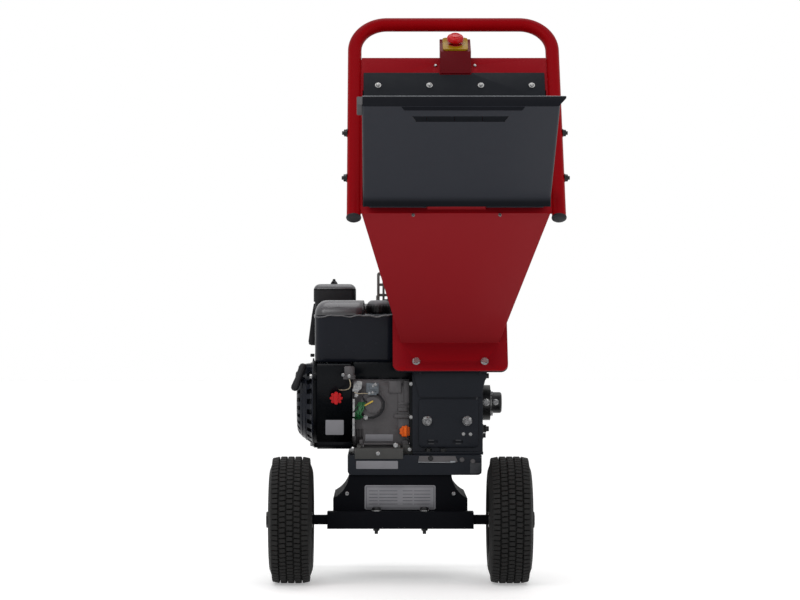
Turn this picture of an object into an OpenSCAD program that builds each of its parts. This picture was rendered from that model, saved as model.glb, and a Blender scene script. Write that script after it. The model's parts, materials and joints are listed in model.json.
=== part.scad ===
// Petrol drum shredder on two wheels, with a folding feed tray.
// Millimetres, +Z up, the operator stands on the -Y side.

/* [Wheels and axle] */
// Outside diameter of each tyre
tyre_d = 268; // [240:1:300]
// Width of each tyre
tyre_w = 92; // [84:1:104]
// Distance between the two wheel centres
track = 462; // [440:1:520]
// Diameter of the axle bar
axle_d = 20; // [16:1:22]
// Outside size of the square axle beam
beam_size = 36; // [32:1:42]
// Length of the axle beam
beam_l = 310; // [260:1:330]

/* [Chassis] */
// Half width of the pedestal at the ground end
foot_half = 143; // [130:1:150]
// Half width of the pedestal under the deck
neck_half = 109; // [104:1:116]
// Length of the pedestal, front to back
chassis_l = 252; // [246:1:290]
// Height of the deck's upper face
deck_top = 270; // [262:1:285]
// Height of the deck's front edge
deck_skirt = 42; // [30:1:46]
// Left end of the deck
deck_left = -112; // [-130:1:-111]
// Right end of the deck
deck_right = 173; // [168:1:176]
// Diameter of the rear stand's bar
stand_d = 20; // [16:1:24]
// How far the stand reaches behind the axle
stand_y = 350; // [330:1:380]
// Half distance between the stand's feet
stand_half = 245; // [200:1:260]
// Height of the stand's cross bar
stand_z = 106; // [90:1:112]

/* [Engine] */
// Height of the crankshaft above the deck
crank_h = 106; // [104:1:112]
// Crankshaft line behind the axle
crank_y = 165; // [160:1:168]
// Diameter of the crankshaft
shaft_d = 25; // [22:1:26]
// Outside radius of the flywheel
flywheel_r = 80; // [70:1:82]
// Angle of the cylinder above level
cyl_tilt = 25; // [23:1:27]
// Reach of the starter cord
pull_len = 90; // [60:1:92]

/* [Cutter] */
// Radius of the cutting drum
drum_r = 85; // [80:1:86]
// Length of the cutting drum
drum_l = 119; // [100:1:124]
// Width of the drum housing, outside
house_w = 151; // [146:1:153]
// Radius of the housing's inner wall
house_r = 100; // [99:1:101]

/* [Hopper] */
// Middle of the hopper, right of the wheels' middle
hopper_x = 107; // [100:1:114]
// Lean of the mouth, and slope of the chute floor
lean = 31; // [30:0.5:32]
// Outside diameter of the handle tube
tube_d = 28; // [24:1:30]
// Wall of the handle tube
tube_wall = 2; // [1.5:0.1:3]
// Outside width of the handle
handle_w = 431.6; // [428:0.2:436]
// Length of the handle, lower end to top bar
handle_l = 461; // [455:1:475]
// Bend radius of the handle
handle_bend = 66; // [50:1:80]
// Sheet of the hopper
sheet = 2; // [1.5:0.1:2.4]
// Length of the mouth along the handle
mouth_l = 359; // [355:1:362]
// Half width of the chute's neck
neck_w_half = 104; // [98:1:106]
// Height of the chute's neck
neck_l = 150; // [146:1:154]

/* [Feed tray] */
// Length of the tray's floor
tray_l = 345; // [320:1:347]
// Half width of the tray's floor
tray_half = 181.5; // [178:0.5:182]
// Height of the lip at the free end
lip_h = 21.6; // [16:0.1:23]
// Half width over the lip's ears
ear_half = 195.3; // [188:0.1:197]
// Radius of the hinge knuckles
knuckle_r = 7; // [6.5:0.1:7.4]
// Width of the hand slot
slot_w = 182; // [120:1:200]

/* [Stop button] */
// Diameter of the button's head
button_d = 34; // [28:1:40]
// Press travel of the button
button_travel = 5; // [3:0.5:6]

/* [Hidden] */
$fn = 64;
// one piece by name, or all of them
run_fit = 0.05;
pin_fit = 0.1;
seat = 0.1;
axle_z = tyre_d / 2;
wheel_x = track / 2;
hub_half = 36;
chassis_y0 = beam_size / 2;
chassis_y1 = chassis_y0 + chassis_l;
chassis_z0 = axle_z - beam_size / 2;
deck_t = 6;
chassis_top = deck_top - deck_t;
crank_z = deck_top + crank_h;
shaft_r = shaft_d / 2;
bearing_r = 26;
bearing_w = 15;
house_x0 = 26;
house_x1 = house_x0 + house_w;
plate_l = 8;
plate_r = 5;
inner_x0 = house_x0 + plate_l;
inner_x1 = house_x1 - plate_r;
drum_x0 = (inner_x0 + inner_x1 - drum_l) / 2 - 1;
drum_x1 = drum_x0 + drum_l;
knife_t = 8;
flat_h = drum_r - 7;
knife_tip = 32;
tip_r = sqrt((flat_h + knife_t) * (flat_h + knife_t) + knife_tip * knife_tip);
tube_r = tube_d / 2;
tube_c = handle_w / 2 - tube_r;
mouth_half = tube_c - tube_r - 0.4;
floor_s = 12;
roof_s = floor_s + mouth_l;
chute_l = 532;
// the flange is fixed over the cutter, so a longer chute carries the mouth further out
neck_y = 56.013;
neck_z = 497;
mouth_y = neck_y - chute_l * cos(lean);
mouth_z = neck_z + chute_l * sin(lean);
flange_t = 5;
flange_half = 123;
flange_s0 = floor_s - 69;
flange_s1 = floor_s + neck_l + 28;
strip_y = -8;
strip_s = 290;
rim_step = 0.5;
hinge_s = 10;
hinge_y = -17;
pin_r = 4;
panel_t = 2;
panel_p = -knuckle_r;
box_x = hopper_x + 3;
box_half = 31.5;
// the switch box sits on the hopper's roof, and always clear under the handle's bar
bar_gap = 90;
box_s = min(roof_s, handle_l - bar_gap);
box_reach = 45;
rope_r = 2.5;
pulley_r = 32;
rope_x = -218;
rope_tilt = 20;
duct_y0 = crank_y + 40;
duct_y1 = crank_y + house_r + 4;
duct_top = 620;
shroud_y0 = 57;
shroud_y1 = 273;
case_y0 = 80;
case_y1 = 250;
cover_x = 20;
tank_y0 = 114;
tank_y1 = 252;
tank_z = deck_top + 195;
shroud_x0 = -187;
shroud_x1 = -103;
shroud_top = crank_z + 87;
house_y0 = crank_y - 110;
cover_t = 4;
pivot_y = duct_y0 + 16;
pivot_z = duct_top - 4;
tube_bolt_s = [83, 191];
curtain_screw_x = [-157, -52, 52, 157];
// the throat's lower opening runs from throat_a to throat_b, as (y, z)
throat_a = [113, 474];
throat_b = [203, 480];
// the whole machine is moved so that its box stands centred on the origin
left_end = -(wheel_x + hub_half + 17.3);
right_end = hopper_x + handle_w / 2 + 10.5;
front_end = mouth_y + (hinge_y - tray_l) * cos(lean) + (hinge_s + panel_p) * sin(lean);
rear_end = stand_y + 17;
shift = [-(left_end + right_end) / 2, -(front_end + rear_end) / 2, 0];

// frames and small helpers

module along_x(x0, x1, r, y, z) {
  translate([x0, y, z]) rotate([0, 90, 0]) cylinder(h = x1 - x0, r = r);
}

module ring_x(x0, x1, r_out, r_in, y, z) {
  difference() {
    along_x(x0, x1, r_out, y, z);
    along_x(x0 - 1, x1 + 1, r_in, y, z);
  }
}

module block(x0, x1, y0, y1, z0, z1) {
  translate([x0, y0, z0]) cube([x1 - x0, y1 - y0, z1 - z0]);
}

// a side outline drawn in (y, z), given a thickness in x
module side_plate(x0, x1) {
  translate([x0, 0, 0]) rotate([90, 0, 90]) linear_extrude(height = x1 - x0) children();
}

// a front outline drawn in (x, z), given a thickness in y
module front_plate(y0, y1) {
  translate([0, y1, 0]) rotate([90, 0, 0]) linear_extrude(height = y1 - y0) children();
}

module rounded(x0, x1, y0, y1, r) {
  translate([x0 + r, y0]) square([x1 - x0 - 2 * r, y1 - y0]);
  translate([x0, y0 + r]) square([x1 - x0, y1 - y0 - 2 * r]);
  for (x = [x0 + r, x1 - r])
    for (y = [y0 + r, y1 - r])
      translate([x, y]) circle(r = r);
}

// hexagon bolt: head above z = 0, shank below, a washer under the head
module bolt(d, l, nut = 0) {
  head = d * 0.65;
  washer = d * 0.2;
  cylinder(h = washer, r = d * 1.05);
  translate([0, 0, washer]) cylinder(h = head, r = d * 0.92, $fn = 6);
  translate([0, 0, -l]) cylinder(h = l + washer, r = d / 2);
  if (nut > 0)
    translate([0, 0, -nut - d * 0.8]) cylinder(h = d * 0.8, r = d * 0.92, $fn = 6);
}

module bolt_hole(d, l) {
  translate([0, 0, -l]) cylinder(h = l + 1, r = d / 2 + 0.3);
}

// frame of the mouth: x across, y into the chute, z up the handle
module mouth() {
  translate([hopper_x, mouth_y, mouth_z]) rotate([-lean, 0, 0]) children();
}

// frame of the open tray: z out along its floor, y up from it
module tray_frame() {
  mouth() translate([0, hinge_y, hinge_s]) rotate([90, 0, 0]) children();
}

// frame of the engine's cylinder: y out along the bore
module cylinder_frame() {
  translate([0, crank_y, crank_z]) rotate([cyl_tilt, 0, 0]) children();
}

// frame of the switch box: upright, on the roof's front edge
module box_frame() {
  mouth() translate([box_x - hopper_x, 0, box_s]) rotate([lean, 0, 0]) children();
}

// frame of the stop button: z out of the sloping switch plate
module button_frame() {
  box_frame() translate([0, -6.4, 30.2]) rotate([lean, 0, 0]) children();
}

// frame of the starter cord: z out along the pull
module rope_frame() {
  translate([rope_x, crank_y, crank_z]) rotate([90 - rope_tilt, 0, 0])
    translate([0, pulley_r + rope_r + 0.5, 0]) children();
}

// round bar through a list of points
function unit(v) = v / norm(v);
function aim(p, i) =
  i == 0 ? unit(p[1] - p[0]) :
  i == len(p) - 1 ? unit(p[i] - p[i - 1]) : unit(p[i + 1] - p[i - 1]);
function side_of(t) = unit(cross(t, abs(t[1]) < 0.9 ? [0, 1, 0] : [1, 0, 0]));

module wire(p, r, n = 8) {
  pts = [for (i = [0 : len(p) - 1]) let (t = aim(p, i), a = side_of(t), b = cross(t, a))
    for (k = [0 : n - 1]) p[i] + r * (cos(360 * k / n) * a + sin(360 * k / n) * b)];
  sides = [for (i = [0 : len(p) - 2]) for (k = [0 : n - 1])
    [i * n + k, i * n + (k + 1) % n, (i + 1) * n + (k + 1) % n, (i + 1) * n + k]];
  first = [for (k = [0 : n - 1]) n - 1 - k];
  last = [for (k = [0 : n - 1]) (len(p) - 1) * n + k];
  polyhedron(points = pts, faces = concat([first], sides, [last]));
}

// points along a smooth cubic from a to d, pulled towards b and c
function curve(a, b, c, d, n = 12) = [for (i = [0 : n]) let (t = i / n, u = 1 - t)
  u * u * u * a + 3 * u * u * t * b + 3 * u * t * t * c + t * t * t * d];

// wheels and axle

module tyre_section() {
  w = tyre_w / 2;
  r = tyre_d / 2;
  difference() {
    union() {
      for (m = [-1, 1]) {
        translate([r - 18, m * (w - 23)]) circle(r = 18);
        translate([r - 40, m * (w - 30)]) circle(r = 30);
      }
      translate([r - 42, -(w - 23)]) square([42, 2 * (w - 23)]);
      translate([52.1, -31]) square([r - 82, 62]);
    }
    for (m = [-1, 1])
      translate([r - 40, m * 13]) circle(r = 22);
    translate([r - 62, -13]) square([44, 26]);
    translate([50, -19]) square([r - 92, 38]);
    for (g = [-1.5, -0.5, 0.5, 1.5])
      translate([r - 6, g * 16 - 2]) square([8, 4]);
  }
}

module tyre(x) {
  translate([x, 0, axle_z]) rotate([0, 90, 0]) rotate_extrude() tyre_section();
}

module rim(x) {
  translate([x, 0, axle_z]) rotate([0, 90, 0]) difference() {
    rotate_extrude() {
      translate([47, -34]) square([5, 68]);
      for (y = [-34, 31.2])
        translate([50, y]) square([12, 2.8]);
      translate([17, -2]) square([32, 4]);
      translate([axle_d / 2 + run_fit, -hub_half]) square([9, 2 * hub_half]);
    }
    for (a = [45 : 90 : 315])
      rotate(a) translate([33, 0, -10]) cylinder(h = 20, r = 8);
  }
}

module left_tyre() { color("DimGray") tyre(-wheel_x); }
module right_tyre() { color("DimGray") tyre(wheel_x); }
module left_rim() { color("Silver") rim(-wheel_x); }
module right_rim() { color("Silver") rim(wheel_x); }

module axle_bolt_places() {
  for (x = [-51, 51])
    translate([x, 0, axle_z + beam_size / 2]) children();
}

module axle() {
  end = wheel_x + hub_half + 16;
  color("Silver") difference() {
    along_x(-end, end, axle_d / 2, 0, axle_z);
    axle_bolt_places() bolt_hole(8, beam_size);
  }
}

module axle_nuts() {
  hub = wheel_x + hub_half;
  bore = axle_d / 2 + run_fit;
  color("Silver") for (m = [0, 1]) mirror([m, 0, 0]) {
    ring_x(wheel_x - hub_half - 8.3, wheel_x - hub_half - 0.3, axle_d / 2 + 6, bore, 0, axle_z);
    ring_x(hub + 0.3, hub + 3.3, axle_d / 2 + 8, bore, 0, axle_z);
    difference() {
      translate([hub + 3.3, 0, axle_z]) rotate([0, 90, 0]) cylinder(h = 14, r = axle_d * 0.86, $fn = 6);
      along_x(hub, hub + 20, bore, 0, axle_z);
    }
  }
}

module axle_beam() {
  h = beam_size / 2;
  color("DimGray") difference() {
    block(-beam_l / 2, beam_l / 2, -h, h, axle_z - h, axle_z + h);
    block(-beam_l / 2 + 5, beam_l / 2 - 5, -h + 3, h - 3, axle_z - h + 3, axle_z + h - 3);
    along_x(-beam_l, beam_l, axle_d / 2 + run_fit, 0, axle_z);
    axle_bolt_places() bolt_hole(8, beam_size + 5);
  }
}

module axle_bolts() {
  color("Silver") axle_bolt_places() bolt(8, beam_size + 13, beam_size);
}

// chassis, deck and stand

module pedestal_outline(inset) {
  rise = 54;
  run = foot_half - neck_half;
  r = (run * run + rise * rise) / (2 * run) + inset;
  curve_z = chassis_top - 32;
  difference() {
    translate([-foot_half + inset, chassis_z0]) square([2 * (foot_half - inset), chassis_top - chassis_z0]);
    for (m = [-1, 1]) {
      translate([m * (neck_half + r - 2 * inset), curve_z]) circle(r = r - inset);
      translate([m * (neck_half - inset + 60) - 60, curve_z]) square([120, 90]);
    }
  }
}

module chassis() {
  t = 3;
  color("DimGray") difference() {
    front_plate(chassis_y0, chassis_y1) pedestal_outline(0);
    translate([0, 0, -t]) front_plate(chassis_y0 + t, chassis_y1 - t) pedestal_outline(t);
    for (y = [chassis_y0 + 40, chassis_y1 - 40])
      along_x(-200, 200, 4, y, chassis_z0 + 90);
    deck_bolt_places() bolt_hole(8, 60);
    house_foot_places() bolt_hole(8, 60);
  }
}

module engine_deck() {
  y0 = chassis_y0 - 6;
  y1 = chassis_y1 + 6;
  color("DimGray") difference() {
    union() {
      block(deck_left, deck_right, y0, y1, chassis_top, deck_top);
      for (y = [y0, y1 - 4])
        front_plate(y, y + 4) {
          rounded(deck_left, deck_right, deck_top - deck_skirt, deck_top - 1, 9);
          translate([deck_left, deck_top - 12]) square([deck_right - deck_left, 11]);
        }
    }
    deck_bolt_places() bolt_hole(8, 60);
    house_foot_places() bolt_hole(8, 60);
  }
}

module deck_bolt_places() {
  for (x = [-83.75, -8.25])
    for (y = [crank_y - 81, crank_y + 81])
      translate([x, y, deck_top + 12]) children();
}

module house_foot_places() {
  for (x = [house_x0 + 34, house_x0 + 66])
    for (y = [crank_y - 122, crank_y + 92])
      translate([x, y, deck_top + 6]) children();
}

module deck_bolts() {
  color("Silver") {
    deck_bolt_places() bolt(8, 32, 12 + deck_t + 3);
    house_foot_places() bolt(8, 26, 6 + deck_t + 3);
  }
}

module rear_stand() {
  r = stand_d / 2;
  bend = 40;
  color("DimGray") for (m = [0, 1]) mirror([m, 0, 0]) {
    along_x(0, stand_half - bend, r, stand_y, stand_z);
    translate([stand_half - bend, stand_y, stand_z - bend]) rotate([90, 0, 0])
      rotate_extrude(angle = 90) translate([bend, 0]) circle(r = r);
    translate([stand_half, stand_y, 8]) cylinder(h = stand_z - bend - 8, r = r);
    side_plate(86, 94)
      polygon([[chassis_y1, chassis_z0 + 4], [chassis_y1, chassis_z0 + 80],
        [stand_y + 2, stand_z + r - 2], [stand_y + 2, stand_z - r + 2]]);
  }
}

module stand_feet() {
  color("Black") for (x = [-stand_half, stand_half])
    translate([x, stand_y, 0]) difference() {
      cylinder(h = 26, r = 17);
      translate([0, 0, 8]) cylinder(h = 30, r = stand_d / 2 + seat / 2);
    }
}

module rating_plates() {
  deck_y = chassis_y0 - 6;
  color("LightGray") {
    front_plate(chassis_y0 - 1, chassis_y0)
      rounded(-76, 75, axle_z + beam_size / 2 + 2, axle_z + beam_size / 2 + 54, 4);
    front_plate(deck_y - 0.8, deck_y) rounded(-94, -5, deck_top - 29, deck_top - 12, 2);
    front_plate(case_y0 - 0.8, case_y0) rounded(-75, -15, deck_top + 26, deck_top + 41, 2);
    front_plate(shroud_y0 - 0.8, shroud_y0) rounded(-160, -121, deck_top + 41, deck_top + 73, 2);
  }
}

// engine

module case_outline() {
  difference() {
    rounded(case_y0, case_y1, deck_top + 12, deck_top + 160, 22);
    translate([crank_y, crank_z]) rotate(cyl_tilt) translate([78, -48]) square([200, 200]);
  }
}

module cover_bolt_places() {
  for (p = [[case_y0 + 12, 146], [case_y0 + 9, 80], [case_y0 + 16, 28],
      [case_y0 + 85, 24], [case_y1 - 16, 28], [case_y0 + 58, 149]])
    translate([cover_x, p[0], deck_top + p[1]]) rotate([0, 90, 0]) children();
}

module recoil_bolt_places() {
  for (a = [20, 140, 260])
    translate([shroud_x0 - 3, crank_y + 90 * cos(a), crank_z + 90 * sin(a)]) rotate([0, -90, 0]) children();
}

module crankcase() {
  color("DimGray") difference() {
    union() {
      side_plate(shroud_x1, -5) case_outline();
      block(-100, 6, case_y0 - 4, case_y1 + 4, deck_top, deck_top + 12);
      translate([-58, case_y0, crank_z - 1]) rotate([90, 0, 0]) cylinder(h = 10, r = 28);
      translate([-58, case_y0 - 10, crank_z - 1]) rotate([90, 0, 0]) cylinder(h = 5, r = 18);
    }
    along_x(-85, 0, 58, crank_y, crank_z);
    along_x(-85 - bearing_w, -80, bearing_r, crank_y, crank_z);
    along_x(-110, -80, shaft_r + 2, crank_y, crank_z);
    cover_bolt_places() bolt_hole(6, 40);
    deck_bolt_places() {
      bolt_hole(8, 60);
      cylinder(h = 40, r = 12);
    }
  }
}

module crankcase_cover() {
  color("Gray") difference() {
    union() {
      side_plate(-5, cover_x) difference() {
        case_outline();
        translate([case_y0 - 10, deck_top]) square([200, 16]);
      }
      along_x(cover_x - 2, house_x0, 40, crank_y, crank_z);
      oil_place() cylinder(h = 6, r = 13);
    }
    along_x(-10, bearing_w - 2, bearing_r, crank_y, crank_z);
    along_x(-10, 40, shaft_r + 2, crank_y, crank_z);
    cover_bolt_places() bolt_hole(6, 40);
    deck_bolt_places() cylinder(h = 40, r = 12);
    oil_place() translate([0, 0, -22]) cylinder(h = 30, r = 9 + pin_fit);
    drain_place() bolt_hole(8, 14);
  }
}

module oil_place() {
  translate([11, case_y0, crank_z - 58]) rotate([90, 0, 0]) children();
}

module drain_place() {
  translate([12, case_y0, deck_top + 22]) rotate([90, 0, 0]) children();
}

module engine_screws() {
  color("Silver") {
    cover_bolt_places() bolt(6, 38);
    recoil_bolt_places() bolt(6, 8);
    drain_place() bolt(8, 12);
  }
}

module cylinder_block() {
  color("Gray") cylinder_frame() difference() {
    union() {
      block(-86, -6, 78, 152, -36, 34);
      for (i = [0 : 7])
        block(-96, 4, 84 + i * 8.5, 87 + i * 8.5, -42, 39);
      block(-94, 2, 152, 185, -42, 38);
      for (i = [0 : 3])
        block(-100, 8, 156 + i * 8, 159 + i * 8, -44, 38);
      translate([0, 207, 0]) rotate([90, 0, 0]) linear_extrude(height = 23) rounded(-64, 2, -30, 30, 12);
    }
    translate([-80, 166, 0]) rotate([-90, 0, 0]) cylinder(h = 30, r = 6 + pin_fit);
  }
}

module spark_plug() {
  color("Black") cylinder_frame() translate([-80, 168, 0]) rotate([-90, 0, 0]) {
    cylinder(h = 20, r = 6);
    translate([0, 0, 17.2]) cylinder(h = 7, r = 10.4, $fn = 6);
    translate([0, 0, 20]) cylinder(h = 14, r = 5);
    translate([0, 0, 26]) cylinder(h = 16, r = 9);
    translate([0, 0, 42]) sphere(r = 9);
    translate([0, 0, 42]) rotate([0, -90, 0]) cylinder(h = 18, r = 6);
  }
}

module shroud_outline(inset) {
  rounded(shroud_y0 + inset, shroud_y1 - inset, deck_top + 10 + inset, shroud_top - inset, 46 - inset);
}

module fan_shroud() {
  color("DimGray") difference() {
    side_plate(shroud_x0, shroud_x1) shroud_outline(0);
    side_plate(shroud_x0 + 2.5, shroud_x1 + 3) shroud_outline(2.5);
    along_x(shroud_x0 - 10, shroud_x0 + 7, 66, crank_y, crank_z);
    recoil_bolt_places() bolt_hole(6, 20);
    switch_place() translate([0, 0, -20]) cylinder(h = 40, r = 4 + pin_fit);
    lever_place() translate([0, 0, -20]) cylinder(h = 40, r = 4 + pin_fit);
  }
}

module recoil_housing() {
  color("DimGray") difference() {
    union() {
      translate([shroud_x0, crank_y, crank_z]) rotate([0, -90, 0]) difference() {
        rotate_extrude() {
          square([97, 3]);
          square([79, 33]);
          square([67, 45]);
          translate([67, 33]) circle(r = 12);
        }
        translate([0, 0, -1]) cylinder(h = 43, r = 64);
        translate([0, 0, -1]) cylinder(h = 34, r = 76);
        for (a = [0 : 24 : 336])
          rotate(a) translate([26, -4, 38]) cube([34, 8, 12]);
        for (a = [0 : 15 : 345])
          rotate(a) translate([70, -3, 8]) cube([20, 6, 20]);
      }
      along_x(-230, rope_x + 10, 6, crank_y, crank_z);
      rope_frame() translate([0, 0, 66]) cylinder(h = 14, r = 8);
    }
    rope_frame() cylinder(h = 100, r = rope_r + 0.8);
    recoil_bolt_places() bolt_hole(6, 20);
  }
}

module starter_pulley() {
  color("Black") difference() {
    union() {
      along_x(rope_x - 7, rope_x + 7, pulley_r - 7, crank_y, crank_z);
      for (x = [rope_x - 7, rope_x + 4])
        along_x(x, x + 3, pulley_r, crank_y, crank_z);
    }
    along_x(rope_x - 20, rope_x + 20, 6 + pin_fit, crank_y, crank_z);
  }
}

module starter_handle() {
  color("Black") rope_frame() {
    translate([0, 0, 84 - pull_len - 4]) cylinder(h = pull_len + 8, r = rope_r);
    translate([0, 0, 81]) cylinder(h = 12, r = 7);
    translate([0, 0, 95]) rotate([0, 28, 0]) rotate([90, 0, 0]) {
      translate([0, 0, -27]) cylinder(h = 54, r = 8.5);
      for (z = [-27, 27])
        translate([0, 0, z]) sphere(r = 8.5);
    }
  }
}

module tank_body(inset) {
  z1 = deck_top + 330 - inset;
  y0 = tank_y0 + inset;
  y1 = tank_y1 - inset;
  intersection() {
    front_plate(y0 - 5, y1 + 5) {
      rounded(shroud_x0 + inset, -80, tank_z + inset, z1, 26 - inset);
      rounded(-140, -6 - inset, tank_z + inset, z1 - 30, 18 - inset);
    }
    side_plate(-300, 50) {
      rounded(y0, y1, tank_z, z1 + 0.5, 26 - inset);
      translate([y0, tank_z - 5]) square([y1 - y0, 60]);
    }
  }
}

module fuel_tank() {
  seam = deck_top + 294;
  color("Black") difference() {
    union() {
      tank_body(0);
      translate([0, 0, seam]) linear_extrude(height = 3) 
        rounded(shroud_x0 - 2.5, -3.5, tank_y0 - 2.5, tank_y1 + 2.5, 26);
      block(-150, -126, tank_y0 + 40, tank_y0 + 90, shroud_top + seat, tank_z + 4);
      block(-60, -36, tank_y0 + 40, tank_y0 + 90, deck_top + 160 + seat, tank_z + 4);
      cap_place() cylinder(h = 10, r = 20);
    }
    tank_body(2);
    cap_place() translate([0, 0, -20]) cylinder(h = 40, r = 17);
  }
}

module cap_place() {
  translate([-46, crank_y + 12, deck_top + 299]) children();
}

module fuel_cap() {
  color("Black") cap_place() {
    translate([0, 0, 10.2]) cylinder(h = 22, r = 26);
    for (a = [15 : 30 : 345])
      rotate(a) translate([25, 0, 11.5]) cylinder(h = 18, r = 2.5);
    translate([0, 0, -4]) cylinder(h = 16, r = 16.5);
  }
}

module carburettor() {
  color("Silver") {
    block(-136, -104, 276, 322, deck_top + 160, deck_top + 206);
    translate([-120, 299, deck_top + 132]) cylinder(h = 30, r = 17);
    translate([-120, 299, deck_top + 204]) cylinder(h = 16, r = 13);
    cylinder_frame() along_x(-114, -100 - seat, 11, 166, 14);
  }
}

module air_filter_box() {
  color("Black") difference() {
    front_plate(262, 340) {
      rounded(-191, -97, deck_top + 220, deck_top + 328, 8);
      rounded(-203, -150, deck_top + 220, deck_top + 290, 14);
    }
    front_plate(266, 336) rounded(-187, -101, deck_top + 226, deck_top + 340, 6);
  }
}

module air_filter_cover() {
  top = deck_top + 366;
  color("Black") {
    difference() {
      front_plate(260, 342) {
        rounded(-193, -95, deck_top + 334, top, 12);
        translate([-193, deck_top + 328]) square([98, 20]);
      }
      front_plate(266, 336) translate([-187, deck_top + 320]) square([86, 36]);
    }
    translate([-146, 301, deck_top + 354]) cylinder(h = 16, r = 5);
    block(-154, -138, 299, 303, deck_top + 366, deck_top + 374);
  }
}

module muffler() {
  color("Silver") {
    front_plate(278, 334) rounded(-48, 20, deck_top + 234, deck_top + 332, 18);
    cylinder_frame() translate([-18, 170, 38]) cylinder(h = 42, r = 12);
    along_x(18, 26, 9, 300, deck_top + 300);
  }
}

module muffler_guard() {
  z0 = deck_top + 240;
  z1 = deck_top + 392;
  color("DimGray") {
    difference() {
      union() {
        front_plate(264, 266) rounded(-50, 24, z0, z1, 6);
        block(-52, -50, 264, 338, z0 + 6, deck_top + 340);
      }
      for (i = [0 : 5])
        for (x = [-44 : 11 : 14])
          translate([x, 260, z0 + 12 + i * 23]) cube([6, 10, 17]);
      for (y = [276 : 14 : 326])
        for (i = [0 : 2])
          translate([-60, y, z0 + 14 + i * 28]) cube([20, 7, 20]);
    }
    for (z = [deck_top + 248, deck_top + 318])
      translate([-1, 265, z]) rotate([-90, 0, 0]) cylinder(h = 13, r = 4);
  }
}

module governor() {
  color("Silver") {
    translate([-101, 36, deck_top + 165]) cylinder(h = 24, r = 16);
    block(-117, -85, 30, shroud_y0, deck_top + 161, deck_top + 165);
    block(-117, -105, shroud_y0 - 3, shroud_y0, deck_top + 120, deck_top + 164);
    block(-102, -96, case_y0 - 6, case_y0, deck_top + 50, deck_top + 120);
    block(-104, -84, case_y0 - 12, case_y0 - 6, deck_top + 118, deck_top + 154);
    block(-99, -88, case_y0 - 8, case_y0, deck_top + 112, deck_top + 124);
    block(-73, -45, case_y0 - 18, case_y0, deck_top + 136, deck_top + 156);
  }
}

module engine_wires() {
  y = shroud_y0 - 4;
  z = crank_z + 29;
  color("Green") {
    wire(curve([-137, y, z], [-131, y - 10, z + 12], [-101, 44, deck_top + 148],
      [-101, 44, deck_top + 160.7]), 1.6);
    wire(curve([-132, y, z + 0.5], [-125, y - 10, z + 0.5], [-88, 44, deck_top + 140],
      [-88, case_y0 - 12.4, deck_top + 140]), 1.4);
    wire(curve([-92, case_y0 - 12.4, deck_top + 128], [-92, 50, deck_top + 128], [-62, 46, deck_top + 143],
      [-62, case_y0 - 18.4, deck_top + 143]), 1.4);
  }
}

module switch_place() {
  translate([-137, shroud_y0, crank_z + 14]) rotate([90, 0, 0]) children();
}

module engine_switch() {
  color("Red") switch_place() {
    translate([0, 0, -8]) cylinder(h = 10, r = 4);
    translate([0, 0, 0.4]) cylinder(h = 13, r = 14);
    translate([-4, -13, 13]) cube([8, 26, 7]);
  }
}

module oil_cap() {
  color("Orange") oil_place() translate([0, 0, 6.3]) {
    cylinder(h = 8, r = 13);
    translate([-3, -11, 8]) cube([6, 22, 8]);
    translate([0, 0, -22]) cylinder(h = 23, r = 9);
  }
}

module lever_place() {
  translate([-166, shroud_y1, crank_z + 20]) rotate([-90, 0, 0]) children();
}

module throttle_lever() {
  color("Black") lever_place() {
    translate([0, 0, -8]) cylinder(h = 10, r = 4);
    translate([0, 0, 0.4]) cylinder(h = 7, r = 10);
    translate([-4, -46, 1.4]) cube([8, 46, 4]);
    translate([0, -46, 0.4]) cylinder(h = 14, r = 8);
  }
}

// turning parts

module crankshaft() {
  color("Silver") {
    along_x(-183, -64, shaft_r, crank_y, crank_z);
    along_x(-28, house_x1 + 20, shaft_r, crank_y, crank_z);
    along_x(-78, -64, 42, crank_y, crank_z);
    along_x(-28, -14, 42, crank_y, crank_z);
    along_x(-66, -26, 13, crank_y, crank_z + 27);
  }
}

module flywheel() {
  color("Gray") difference() {
    union() {
      along_x(-165, -150, flywheel_r, crank_y, crank_z);
      along_x(-180, -160, 30, crank_y, crank_z);
      translate([-164, crank_y, crank_z]) rotate([0, -90, 0])
        for (a = [0 : 24 : 336])
          rotate(a) translate([44, -1.5, 0]) cube([flywheel_r - 46, 3, 15]);
    }
    along_x(-200, -140, shaft_r, crank_y, crank_z);
  }
}

module knife_places() {
  for (a = [50, 230])
    translate([drum_x0, crank_y, crank_z]) rotate([a, 0, 0]) children();
}

module rotor_drum() {
  color("DimGray") difference() {
    along_x(drum_x0, drum_x1, drum_r, crank_y, crank_z);
    along_x(drum_x0 - 1, drum_x1 + 1, shaft_r, crank_y, crank_z);
    knife_places() translate([-1, -60, flat_h]) cube([drum_l + 2, 120, 40]);
    for (a = [5, 95, 185, 275])
      along_x(drum_x0 - 1, drum_x1 + 1, 18, crank_y + 48 * cos(a), crank_z + 48 * sin(a));
    knife_places() knife_bolt_places() translate([0, 0, -32]) cylinder(h = 40, r = 5.2);
  }
}

module knife_bolt_places() {
  for (x = [drum_l * 0.22, drum_l * 0.78])
    translate([x, 4, flat_h + knife_t]) children();
}

module knives() {
  color("Silver") knife_places() {
    difference() {
      side_plate(2, drum_l - 2)
        polygon([[-20, flat_h], [-20, flat_h + knife_t], [knife_tip, flat_h + knife_t],
          [knife_tip - 12, flat_h]]);
      knife_bolt_places() {
        translate([0, 0, -30]) cylinder(h = 40, r = 5.2);
        translate([0, 0, -3]) cylinder(h = 10, r = 9.2);
      }
    }
    knife_bolt_places() {
      translate([0, 0, -2.9]) cylinder(h = 2.5, r = 9);
      translate([0, 0, -30]) cylinder(h = 28.5, r = 5);
    }
  }
}

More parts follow.
